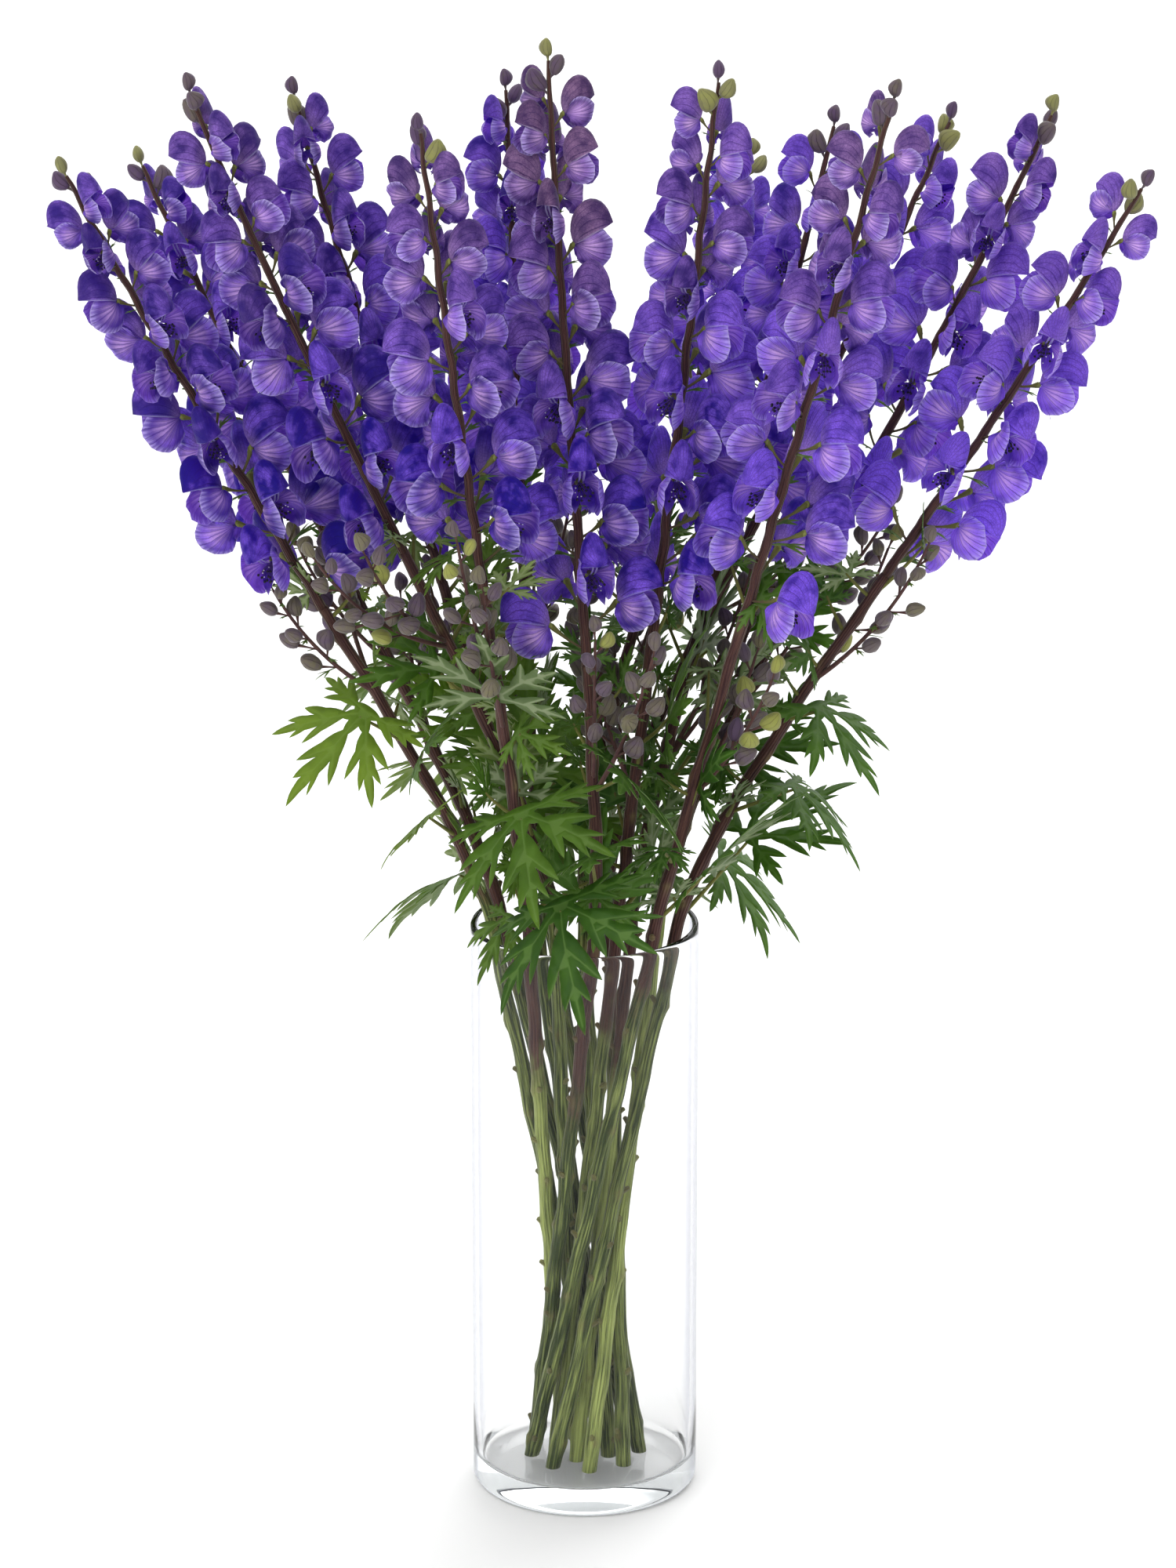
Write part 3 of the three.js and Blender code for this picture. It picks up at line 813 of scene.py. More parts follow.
@dataclass
class Shape:
    """Points and faces with two values a point that the materials read.

    Attributes:
        points: One point a row, in millimetres.
        faces: Arrays of faces with three or four corners.
        grain: Where a point lies on its own surface: across it, along it, and which part it is.
        tone: What its piece is like: its age, a draw of its own, and one more value.
    """

    points: Points
    faces: list[Faces]
    grain: Points
    tone: Points = field(default_factory=lambda: np.zeros((0, 3)))

    def toned(self, *tone: float) -> "Shape":
        """Return this shape with one tone at all its points."""
        values = np.tile(np.array(tone, float), (len(self.points), 1))
        return Shape(self.points, self.faces, self.grain, values)

    def put(self, place: Place) -> "Shape":
        """Return this shape moved from a place's own frame into the scene."""
        return Shape(place.put(self.points), self.faces, self.grain, self.tone)

    @staticmethod
    def joined(shapes: Iterable["Shape"]) -> "Shape":
        """Return several shapes as one.

        Args:
            shapes: The shapes.

        Returns:
            Several shapes as one.
        """
        parts = list(shapes)
        faces: list[Faces] = []
        start = 0
        for part in parts:
            faces.extend(block + start for block in part.faces)
            start += len(part.points)
        return Shape(
            np.vstack([part.points for part in parts]),
            faces,
            np.vstack([part.grain for part in parts]),
            np.vstack([part.tone for part in parts]),
        )


def grid_faces(rows: int, columns: int, closed: bool = False) -> Faces:
    """Return the quads of a grid of points that is stored row by row.

    Args:
        rows: How many rows of points there are.
        columns: How many points a row has.
        closed: Whether each row is a ring.

    Returns:
        One face a row.
    """
    across = columns if closed else columns - 1
    row, column = np.meshgrid(np.arange(rows - 1), np.arange(across), indexing="ij")
    a = (row * columns + column).ravel()
    b = (row * columns + (column + 1) % columns).ravel()
    return np.stack([a, b, b + columns, a + columns], axis=1)


def sheet(x: Points, y: Points, z: Points, across: Points, along: Points, part: float) -> Shape:
    """Return an open sheet from tables of numbers that stretch to one size.

    Args:
        x: The points' x.
        y: Their y.
        z: Their z.
        across: Where they lie across the sheet.
        along: Where they lie along it.
        part: The part number that its grain carries.

    Returns:
        The sheet, with its grain as across, along and part.
    """
    points = np.stack(np.broadcast_arrays(x, y, z), axis=-1)
    rows, columns = points.shape[:2]
    grain = np.stack(np.broadcast_arrays(across, along, np.full((rows, columns), float(part))), axis=-1)
    return Shape(points.reshape(-1, 3), [grid_faces(rows, columns)], grain.reshape(-1, 3))


def closed_rings(rings: list[Points], ends: Points) -> tuple[Points, list[Faces]]:
    """Return rings of points joined in order, with a point that closes each end.

    Args:
        rings: The rings, all with as many points.
        ends: The point before the first ring and the one after the last.

    Returns:
        The points and their faces.
    """
    count, sides = len(rings), len(rings[0])
    ring = np.arange(sides)
    after = (ring + 1) % sides
    base, first = (count - 1) * sides, count * sides
    caps = np.vstack([
        np.stack([after, ring, np.full(sides, first)], axis=1),
        np.stack([base + ring, base + after, np.full(sides, first + 1)], axis=1),
    ])
    return np.vstack([*rings, ends]), [grid_faces(count, sides, closed=True), caps]


def tube(centres: Points, radii: Points, sides: int, part: float = 0,
         round_ends: bool = True) -> Shape:
    """Return a closed tube along a line of points.

    Args:
        centres: The points of its middle line.
        radii: Its radius at each point.
        sides: How many sides it has.
        part: The part number that its grain carries.
        round_ends: Whether its end caps swell a little.

    Returns:
        The tube, with its grain as turn, distance along in millimetres, and part.
    """
    headings = np.gradient(centres, axis=0)
    headings /= np.linalg.norm(headings, axis=1, keepdims=True)
    steps = np.linalg.norm(np.diff(centres, axis=0), axis=1)
    lengths = np.concatenate([[0.0], np.cumsum(steps)])
    side = unit(cross(headings[0], np.array([0.3, 0.9, 0.11])))
    turns = 2 * np.pi * np.arange(sides) / sides
    rings = []
    for centre, radius, heading in zip(centres, radii, headings):
        side = unit(side - heading * float(side @ heading))
        other = cross(heading, side)
        rings.append(centre + radius * (np.outer(np.cos(turns), side) + np.outer(np.sin(turns), other)))
    grain = np.column_stack([
        np.tile(np.abs(np.arange(sides) / sides * 2 - 1), len(centres)),
        np.repeat(lengths, sides),
        np.full(len(centres) * sides, part),
    ])
    swell = 0.35 if round_ends else 0.0
    ends = [centres[0] - headings[0] * radii[0] * swell, centres[-1] + headings[-1] * radii[-1] * swell]
    grain = np.vstack([grain, [[0, 0, part], [0, lengths[-1], part]]])
    return Shape(*closed_rings(rings, ends), grain)


def bent(start: Points, middle: Points, end: Points, count: int) -> Points:
    """Return points on the bend from a start to an end that heads for a middle point."""
    t = np.linspace(0, 1, count)[:, None]
    return (1 - t)**2 * start + 2 * (1 - t) * t * middle + t**2 * end


class Studio:
    """Makes the scene's objects."""

    def __init__(self) -> None:
        """Start with nothing made."""
        self.made = 0

    def piece(self, name: str, shape: Shape, material: bpy.types.Material, slot: Slot,
              replaces: Iterable[str]) -> bpy.types.Object:
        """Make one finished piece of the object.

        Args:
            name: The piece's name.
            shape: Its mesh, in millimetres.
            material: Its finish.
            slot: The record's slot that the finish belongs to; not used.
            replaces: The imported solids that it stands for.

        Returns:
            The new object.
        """
        thing = self.mesh_object(name, shape, material)
        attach(thing, "root")
        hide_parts(*replaces)
        self.made += 1
        log.info("%s: %d points", name, len(shape.points))
        return thing

    def mesh_object(self, name: str, shape: Shape, material: bpy.types.Material) -> bpy.types.Object:
        """Make an object from a shape, smooth and in metres.

        Args:
            name: The object's name.
            shape: The shape.
            material: Its material.

        Returns:
            The object.
        """
        mesh = bpy.data.meshes.new(name)
        mesh.vertices.add(len(shape.points))
        mesh.vertices.foreach_set("co", (shape.points * METRE).astype(np.float32).ravel())
        corners = np.concatenate([block.ravel() for block in shape.faces]).astype(np.int32)
        sizes = np.concatenate([np.full(len(block), block.shape[1]) for block in shape.faces])
        starts = np.concatenate([[0], np.cumsum(sizes)[:-1]]).astype(np.int32)
        mesh.loops.add(len(corners))
        mesh.loops.foreach_set("vertex_index", corners)
        mesh.polygons.add(len(sizes))
        mesh.polygons.foreach_set("loop_start", starts)
        mesh.update(calc_edges=True)
        mesh.shade_smooth()
        for label, values in (("grain", shape.grain), ("tone", shape.tone)):
            if len(values):
                layer = mesh.attributes.new(label, "FLOAT_VECTOR", "POINT")
                layer.data.foreach_set("vector", values.astype(np.float32).ravel())
        mesh.materials.append(material)
        thing = bpy.data.objects.new(name, mesh)
        bpy.context.scene.collection.objects.link(thing)
        return thing


# Shader maths


class Signal:
    """An output of a shader node that Python sums can use."""

    def __init__(self, graph: "Graph", socket: bpy.types.NodeSocket) -> None:
        """Wrap one output socket."""
        self.graph = graph
        self.socket = socket

    def __add__(self, other: "Value") -> "Signal":
        """Return the sum."""
        return self.graph.math("ADD", self, other)

    __radd__ = __add__

    def __sub__(self, other: "Value") -> "Signal":
        """Return the difference."""
        return self.graph.math("SUBTRACT", self, other)

    def __rsub__(self, other: "Value") -> "Signal":
        """Return the difference from another value."""
        return self.graph.math("SUBTRACT", other, self)

    def __mul__(self, other: "Value") -> "Signal":
        """Return the product."""
        return self.graph.math("MULTIPLY", self, other)

    __rmul__ = __mul__

    def __truediv__(self, other: "Value") -> "Signal":
        """Return the quotient."""
        return self.graph.math("DIVIDE", self, other)

    def __rtruediv__(self, other: "Value") -> "Signal":
        """Return the quotient of another value by this one."""
        return self.graph.math("DIVIDE", other, self)

    def within(self) -> "Signal":
        """Return the value held between 0 and 1."""
        return self.graph.node("ShaderNodeClamp", {}, {"Value": self})

    def size(self) -> "Signal":
        """Return the value without its sign."""
        return self.graph.math("ABSOLUTE", self)

    def wave(self) -> "Signal":
        """Return the sine."""
        return self.graph.math("SINE", self)

    def bell(self, middle: float, width: float) -> "Signal":
        """Return a hump of 1 at a middle value that falls away over a width."""
        away = (self - middle) / width
        return self.graph.math("EXPONENT", away * away * -1.0)

    def step(self, low: float, high: float) -> "Signal":
        """Return 0 up to a low value, 1 from a high one, and a smooth rise between.

        Args:
            low: Where the rise starts.
            high: Where it ends.

        Returns:
            0 up to a low value, 1 from a high one, and a smooth rise between.
        """
        settings = {"interpolation_type": "SMOOTHSTEP", "clamp": True}
        return self.graph.node("ShaderNodeMapRange", settings,
                               {"Value": self, "From Min": low, "From Max": high})


Value = Signal | float
Tint = Signal | Colour


class Graph:
    """The node tree of one material or world."""

    MIX_SOCKETS = {"factor": 0, "a": 6, "b": 7}
    MIX_RESULT = 2

    def __init__(self, owner: bpy.types.Material | bpy.types.World) -> None:
        """Start an empty tree in a new material or world.

        Args:
            owner: The new material or world.
        """
        self.owner = owner
        self.owner.use_nodes = True
        self.tree = self.owner.node_tree
        self.tree.nodes.clear()

    def node(self, kind: str, settings: dict[str, object], inputs: dict[str | int, object],
             output: str | int = 0) -> Signal:
        """Add any node.

        Args:
            kind: The node's type.
            settings: Properties to set first, such as an operation.
            inputs: Values or links for its sockets, by name or number.
            output: The output to return.

        Returns:
            The chosen output.
        """
        made = self.tree.nodes.new(kind)
        for label, setting in settings.items():
            setattr(made, label, setting)
        for key, value in inputs.items():
            socket = made.inputs[key]
            if isinstance(value, Signal):
                self.tree.links.new(value.socket, socket)
            elif isinstance(value, tuple) and socket.type == "RGBA":
                socket.default_value = (*value, 1.0)
            else:
                socket.default_value = value
        return Signal(self, made.outputs[output])

    def math(self, operation: str, *values: Value) -> Signal:
        """Add a Math node on values."""
        return self.node("ShaderNodeMath", {"operation": operation}, dict(enumerate(values)))

    def blend(self, a: Tint, b: Tint, share: Value) -> Signal:
        """Return the colour a share of the way from a to b.

        Args:
            a: The colour at share 0.
            b: The colour at share 1.
            share: The share.

        Returns:
            The colour a share of the way from a to b.
        """
        inputs = {self.MIX_SOCKETS["factor"]: share, self.MIX_SOCKETS["a"]: a,
                  self.MIX_SOCKETS["b"]: b}
        return self.node("ShaderNodeMix", {"data_type": "RGBA"}, inputs, self.MIX_RESULT)

    def values(self, name: str) -> tuple[Signal, Signal, Signal]:
        """Return the three numbers of a stored value.

        Args:
            name: The stored value's name.

        Returns:
            The three numbers of a stored value.
        """
        stored = self.node("ShaderNodeAttribute", {"attribute_name": name}, {}, "Vector")
        split = self.node("ShaderNodeSeparateXYZ", {}, {"Vector": stored}).socket.node
        return tuple(Signal(self, split.outputs[axis]) for axis in "XYZ")

    def vector(self, x: Value, y: Value, z: Value) -> Signal:
        """Return a vector made of three numbers."""
        return self.node("ShaderNodeCombineXYZ", {}, {"X": x, "Y": y, "Z": z})

    def place(self) -> Signal:
        """Return the point's own place on its object."""
        return self.node("ShaderNodeTexCoord", {}, {}, "Object")

    def noise(self, where: Signal, scale: float, detail: float = 2.0,
              roughness: float = 0.5) -> Signal:
        """Return soft noise between 0 and 1."""
        inputs = {"Vector": where, "Scale": scale, "Detail": detail, "Roughness": roughness}
        return self.node("ShaderNodeTexNoise", {}, inputs, "Fac")

    def cells(self, where: Signal, scale: float) -> Signal:
        """Return how far a point lies inside one of many small cells."""
        settings = {"feature": "DISTANCE_TO_EDGE"}
        return self.node("ShaderNodeTexVoronoi", settings, {"Vector": where, "Scale": scale}, "Distance")

    def bump(self, height: Signal, strength: float, distance: float) -> Signal:
        """Return a normal bent by a height."""
        inputs = {"Height": height, "Strength": strength, "Distance": distance}
        return self.node("ShaderNodeBump", {}, inputs)

    def finish(self, surface: Signal, volume: Signal | None = None) -> bpy.types.Material:
        """Link a surface, and a volume where there is one, and return the material.

        Args:
            surface: The surface.
            volume: What fills the body, or None.

        Returns:
            The material.
        """
        inputs = {"Surface": surface}
        if volume is not None:
            inputs["Volume"] = volume
        return self._end("ShaderNodeOutputMaterial", inputs)

    def room(self, colour: Signal) -> bpy.types.World:
        """Link the colour of the light all round, and return the world."""
        light = self.node("ShaderNodeBackground", {}, {"Color": colour, "Strength": 1.0})
        return self._end("ShaderNodeOutputWorld", {"Surface": light})

    def _end(self, kind: str, inputs: dict[str, Signal]) -> bpy.types.Material | bpy.types.World:
        """Link the tree's output, and return what the tree belongs to.

        Args:
            kind: The output's type.
            inputs: What to link, by the output's inputs.

        Returns:
            What the tree belongs to.
        """
        output = self.tree.nodes.new(kind)
        for label, value in inputs.items():
            self.tree.links.new(value.socket, output.inputs[label])
        return self.owner

    def thin(self, principled: dict[str, object], glow: Colour, share: Value) -> Signal:
        """Return a surface that lets some light through, as petals and leaves do.

        Args:
            principled: The surface.
            glow: The colour that comes through.
            share: How much comes through.

        Returns:
            A surface that lets some light through, as petals and leaves do.
        """
        front = self.node("ShaderNodeBsdfPrincipled", {}, principled)
        through = self.node("ShaderNodeBsdfTranslucent", {}, {"Color": glow})
        return self.node("ShaderNodeMixShader", {}, {0: share, 1: front, 2: through})


# Finishes


@dataclass(frozen=True)
class PetalFinish:
    """Violet sepals with dark veins, painted lilac highlights and rim light, and pale frilled margins.

    The grain gives the turn across, the way along, and the part: 0 hood, 1 side sepal,
    2 lower sepal, 3 nectary. The tone gives the age, a share that mixes a draw of the
    flower's own with how far right its stem stands, and its dusk.
    """

    deep: Colour = (0.012, 0.006, 0.235)
    violet: Colour = (0.300, 0.145, 0.960)
    # The colour of the painted highlights.
    lilac: Colour = (0.880, 0.560, 1.000)
    frill: Colour = (0.660, 0.530, 1.000)
    dusk: Colour = (0.100, 0.050, 0.135)
    dusk_light: Colour = (0.430, 0.240, 0.430)
    vein: Colour = (0.010, 0.005, 0.055)
    # Used for the painted rim light, and for the nectaries' own pale colour.
    pale: Colour = (0.60, 0.55, 0.80)
    glow: Colour = (0.27, 0.09, 0.88)
    through: float = 0.30

    def material(self) -> bpy.types.Material:
        """Return the finish as a material.

        Returns:
            The material.
        """
        g = Graph(bpy.data.materials.new("petals"))
        across, along, part = g.values("grain")
        _, chance, dusk = g.values("tone")
        place = g.place()
        cloud = g.noise(place, 130, 3)
        fine = g.noise(place, 1100, 3, 0.65)
        hood = 1 - part.step(0.3, 0.6)
        side = 1 - (part - 1).size().step(0.2, 0.5)
        body = g.blend(self.deep, self.violet, (cloud * 2.8 + chance * 1.5 - 1.60).within())
        dusky = g.blend(self.dusk, self.dusk_light, (cloud * 2.2 - 0.85).within())
        body = g.blend(body, dusky, (dusk * (0.66 + hood * 0.34)).within())
        # Painted highlight: lilac light on the middle of each side sepal and at the foot of the hood, as
        # if light shone through them.
        light = along.bell(0.40, 0.30) * (across - 0.15).bell(0.0, 0.50)
        streak = (across * 31 + cloud * 3).wave() * 0.5 + 0.5
        lit = light * side * (0.40 + streak * 0.6) + hood * along.bell(0.1, 0.16) * 0.35
        body = g.blend(body, self.lilac, (lit * (0.78 + chance * 0.5 - dusk * 0.3)).within())
        comb = (across * 62 + cloud * 3).wave() * 0.5 + 0.5
        margin = along.step(0.74, 1.0) * (1 - hood)
        body = g.blend(body, self.frill, (margin * (0.28 + comb * 0.46)).within())
        veins = self._veins(g, across, along, hood, cloud)
        body = g.blend(body, self.vein, (veins * (0.62 + fine * 0.3)).within())
        net = 1 - g.cells(place, 620).step(0.0, 0.16)
        body = g.blend(body, self.vein, net * hood * 0.30)
        body = g.blend(body, self.vein, ((fine - 0.52) * 1.7).within() * 0.55)
        # Painted rim light: a pale band along the outer ends of the sepals and the two edges of the hood,
        # where backlit down would shine.
        rim = (along.step(0.95, 1.0) * (1 - hood) + across.size().step(0.95, 1.0) * hood).within()
        body = g.blend(body, self.pale, rim * 0.42)
        body = g.blend(body, self.pale, part.step(2.5, 2.8) * 0.75)
        folds = (across.size() * 13 + cloud * 3).wave() * 0.5 + 0.5
        normal = g.bump(folds * 0.9 + veins * -0.5 + fine * 0.4, 0.55, 0.0007)
        surface = g.thin({
            "Base Color": body,
            "Roughness": 0.48 + fine * 0.15,
            "Specular IOR Level": 0.12,
            "Sheen Weight": 0.10,
            "Sheen Roughness": 0.28,
            "Sheen Tint": (0.88, 0.82, 1.0),
            "Normal": normal,
        }, self.glow, self.through * (1 - dusk * 0.6))
        return g.finish(surface)

    def _veins(self, g: Graph, across: Signal, along: Signal, hood: Signal, cloud: Signal) -> Signal:
        """Return the veins: main ones that run along, and twice as many towards the margin.

        Args:
            g: The tree.
            across: Where a point lies across the petal.
            along: Where it lies along it.
            hood: 1 on a hood, 0 elsewhere.
            cloud: Soft noise that bends the veins.

        Returns:
            The veins: main ones that run along, and twice as many towards the margin.
        """
        sweep = across * 19 + cloud * 2.4
        main = 1 - sweep.wave().size().step(0.03, 0.30)
        twigs = 1 - (across * 41 + cloud * 5).wave().size().step(0.0, 0.34)
        spread = along.step(0.30, 0.75) * (1 - hood) + hood * 0.6
        return (main * 0.8 + twigs * spread * 0.55) * along.step(0.02, 0.22)


@dataclass(frozen=True)
class StamenFinish:
    """Near-black anthers on violet threads, with white specks. The grain's part is 0, 1 or 2."""

    thread: Colour = (0.34, 0.22, 0.52)
    anther: Colour = (0.012, 0.006, 0.02)
    speck: Colour = (0.86, 0.82, 0.84)

    def material(self) -> bpy.types.Material:
        """Return the finish as a material.

        Returns:
            The material.
        """
        g = Graph(bpy.data.materials.new("stamens"))
        _, along, part = g.values("grain")
        grit = g.noise(g.place(), 2500, 1)
        thread = g.blend(self.thread, self.anther, (along * 0.12).within())
        body = g.blend(thread, self.anther, part.step(0.3, 0.6))
        body = g.blend(body, self.speck, part.step(1.3, 1.6))
        surface = g.node("ShaderNodeBsdfPrincipled", {}, {
            "Base Color": body,
            "Roughness": 0.5 + grit * 0.3,
            "Normal": g.bump(grit, 0.5, 0.0003),
        })
        return g.finish(surface)


@dataclass(frozen=True)
class StalkFinish:
    """A ribbed stalk, green in the vase and purple-brown above it, its green streaked with painted light
    and shade.

    The grain gives the turn, the distance from the foot, and the part: 0 stalk, 1 leaf scar,
    2 cut end. The tone's first number is how far the stalk has turned purple.
    """

    # The shaded and the lit green of the painted light and shade.
    green: Colour = (0.030, 0.050, 0.010)
    pale_lit_green: Colour = (0.440, 0.520, 0.150)
    purple: Colour = (0.040, 0.014, 0.018)
    brown: Colour = (0.150, 0.070, 0.052)
    scar: Colour = (0.210, 0.170, 0.070)
    cut: Colour = (0.42, 0.44, 0.24)

    def material(self) -> bpy.types.Material:
        """Return the finish as a material.

        Returns:
            The material.
        """
        g = Graph(bpy.data.materials.new("stalk"))
        turn, along, part = g.values("grain")
        purple, chance, _ = g.values("tone")
        long = g.vector(turn * 6, along * 0.02, chance * 9)
        streak = g.noise(long, 2.2, 3)
        blotch = g.noise(g.place(), 90, 3)
        fine = g.noise(g.place(), 1400, 2)
        # Painted light and shade: the lit and the shaded green lie in random streaks along the stalk,
        # partly its own streaking.
        shade = streak * 2.6 + (chance - 0.5) * 0.9 - 0.84
        green = g.blend(self.green, self.pale_lit_green, shade.within())
        dark = g.blend(self.purple, self.brown, (streak * 2.2 - 0.75).within())
        share = (purple + (blotch - 0.5) * 0.55 + (streak - 0.5) * 0.5).step(0.32, 0.68)
        body = g.blend(green, dark, share)
        body = g.blend(body, self.scar, part.bell(1, 0.5) * 0.6)
        body = g.blend(body, self.cut, part.step(1.4, 1.9))
        ribs = (turn * 44).wave() * 0.5 + 0.5
        surface = g.node("ShaderNodeBsdfPrincipled", {}, {
            "Base Color": body,
            "Roughness": 0.46 + fine * 0.2,
            "Specular IOR Level": 0.2,
            "Sheen Weight": 0.35,
            "Sheen Roughness": 0.3,
            "Sheen Tint": (0.80, 0.86, 0.62),
            "Normal": g.bump(ribs * 0.8 + fine * 0.15, 0.6, 0.0006),
        })
        return g.finish(surface)


@dataclass(frozen=True)
class GreenFinish:
    """Soft green parts among the flowers: pedicels, bracts and branchlets.

    The grain gives the turn, the way along and the part: 0 pedicel, 1 knob, 2 bract, 3 branchlet.
    """

    olive: Colour = (0.185, 0.190, 0.045)
    knob: Colour = (0.300, 0.330, 0.085)
    bract: Colour = (0.090, 0.190, 0.035)
    branchlet: Colour = (0.150, 0.075, 0.060)
    purple: Colour = (0.085, 0.032, 0.045)

    def material(self) -> bpy.types.Material:
        """Return the finish as a material.

        Returns:
            The material.
        """
        g = Graph(bpy.data.materials.new("green_parts"))
        _, along, part = g.values("grain")
        age, _, _ = g.values("tone")
        place = g.place()
        cloud = g.noise(place, 240, 3)
        fine = g.noise(place, 1500, 2)
        pedicel = g.blend(self.purple, self.olive, (along * 0.9 + cloud * 0.5 - 0.1).within())
        body = g.blend(pedicel, self.knob, part.bell(1, 0.4))
        body = g.blend(body, self.bract, part.bell(2, 0.4))
        twig = g.blend(self.branchlet, self.purple, (cloud * 1.4 - 0.2).within())
        body = g.blend(body, twig, part.step(2.5, 2.9))
        body = g.blend(body, self.purple, (cloud - 0.55 + age * 0.2).within() * 0.6)
        surface = g.thin({
            "Base Color": body,
            "Roughness": 0.55 + fine * 0.2,
            "Specular IOR Level": 0.25,
            "Sheen Weight": 0.2,
            "Sheen Roughness": 0.4,
            "Sheen Tint": (0.95, 0.93, 0.85),
            "Normal": g.bump(fine, 0.35, 0.0004),
        }, (0.30, 0.40, 0.05), 0.15)
        return g.finish(surface)


@dataclass(frozen=True)
class BudFinish:
    """Closed buds: purple-grey with olive between dark ribs, some yellow-green.

    The grain gives the turn and the way along. The tone gives how green the bud is, and a draw.
    """

    purple: Colour = (0.110, 0.066, 0.140)
    olive: Colour = (0.160, 0.135, 0.100)
    lime: Colour = (0.400, 0.430, 0.080)
    rib: Colour = (0.022, 0.011, 0.026)

    def material(self) -> bpy.types.Material:
        """Return the finish as a material.

        Returns:
            The material.
        """
        g = Graph(bpy.data.materials.new("buds"))
        turn, _, _ = g.values("grain")
        ripe, chance, _ = g.values("tone")
        place = g.place()
        cloud = g.noise(place, 260, 3)
        fine = g.noise(place, 1600, 2)
        body = g.blend(self.purple, self.olive, (cloud * 1.6 + chance * 0.9 - 0.95).within())
        body = g.blend(body, self.lime, (ripe * (0.7 + cloud * 0.5)).within())
        ribs = 1 - (turn * 15 + cloud * 1.5).wave().size().step(0.05, 0.42)
        body = g.blend(body, self.rib, ribs * 0.65 * (1 - ripe * 0.7))
        surface = g.thin({
            "Base Color": body,
            "Roughness": 0.5 + fine * 0.2,
            "Specular IOR Level": 0.25,
            "Sheen Weight": 0.4,
            "Sheen Roughness": 0.35,
            "Sheen Tint": (0.92, 0.90, 0.95),
            "Normal": g.bump(ribs * 0.7 + fine * 0.3, 0.45, 0.0006),
        }, (0.45, 0.40, 0.10), 0.12)
        return g.finish(surface)


@dataclass(frozen=True)
class LeafFinish:
    """Leaf blades: glossy green above, grey-green below, with paler veins.

    The grain gives the distance to the nearest vein in millimetres, the way out from the
    petiole, and the face: 1 above, 0 below. The tone gives how yellow the leaf is, and a draw.
    """

    upper: Colour = (0.020, 0.072, 0.010)
    upper_light: Colour = (0.095, 0.220, 0.022)
    under: Colour = (0.085, 0.135, 0.052)
    under_light: Colour = (0.230, 0.300, 0.150)
    yellow: Colour = (0.300, 0.400, 0.030)
    vein_upper: Colour = (0.130, 0.230, 0.060)
    vein_under: Colour = (0.330, 0.390, 0.230)
    glow: Colour = (0.34, 0.60, 0.03)
    through: float = 0.26

    def material(self) -> bpy.types.Material:
        """Return the finish as a material.

        Returns:
            The material.
        """
        g = Graph(bpy.data.materials.new("leaves"))
        off_vein, out, face = g.values("grain")
        yellow, chance, _ = g.values("tone")
        place = g.place()
        cloud = g.noise(place, 70, 3)
        fine = g.noise(place, 700, 3)
        upper = g.blend(self.upper, self.upper_light, (cloud * 1.1 + chance * 0.6 - 0.5).within())
        upper = g.blend(upper, self.vein_upper, (1 - off_vein.step(0.1, 0.75)) * 0.6)
        under = g.blend(self.under, self.under_light, (cloud * 1.1 + chance * 0.5 - 0.4).within())
        under = g.blend(under, self.vein_under, (1 - off_vein.step(0.15, 0.9)) * 0.8)
        body = g.blend(under, upper, face.step(0.4, 0.6))
        body = g.blend(body, self.yellow, (yellow * (0.55 + out * 0.5) * (0.6 + cloud * 0.6)).within())
        crease = off_vein.step(0.0, 1.4) + fine * 0.35
        surface = g.thin({
            "Base Color": body,
            "Roughness": 0.42 + fine * 0.22,
            "Specular IOR Level": 0.22,
            "Normal": g.bump(crease, 0.5, 0.0006),
        }, self.glow, self.through)
        return g.finish(surface)


@dataclass(frozen=True)
class GlassFinish:
    """Clear glass with a painted grey reflection where it is seen edge on."""

    tint: Colour = (0.78, 0.81, 0.82)
    depth: float = 12.0
    # The grey of the painted edge reflection.
    edge: Colour = (0.46, 0.48, 0.57)

    def material(self) -> bpy.types.Material:
        """Return the finish as a material.

        Returns:
            The material.
        """
        g = Graph(bpy.data.materials.new("clear_glass"))
        smear = g.noise(g.place(), 14, 3)
        # Painted reflection: the base colour greys where the glass is seen edge on, for the dark sides
        # that it would mirror.
        facing = g.node("ShaderNodeLayerWeight", {}, {"Blend": 0.5}, "Facing")
        surface = g.node("ShaderNodeBsdfPrincipled", {}, {
            "Base Color": g.blend((1.0, 1.0, 1.0), self.edge, facing.step(0.55, 0.88)),
            "Roughness": smear.step(0.66, 0.9) * 0.02,
            "IOR": 1.22,
            "Transmission Weight": 1.0,
        })
        volume = g.node("ShaderNodeVolumeAbsorption", {}, {"Color": self.tint, "Density": self.depth})
        return g.finish(surface, volume)


# The vase


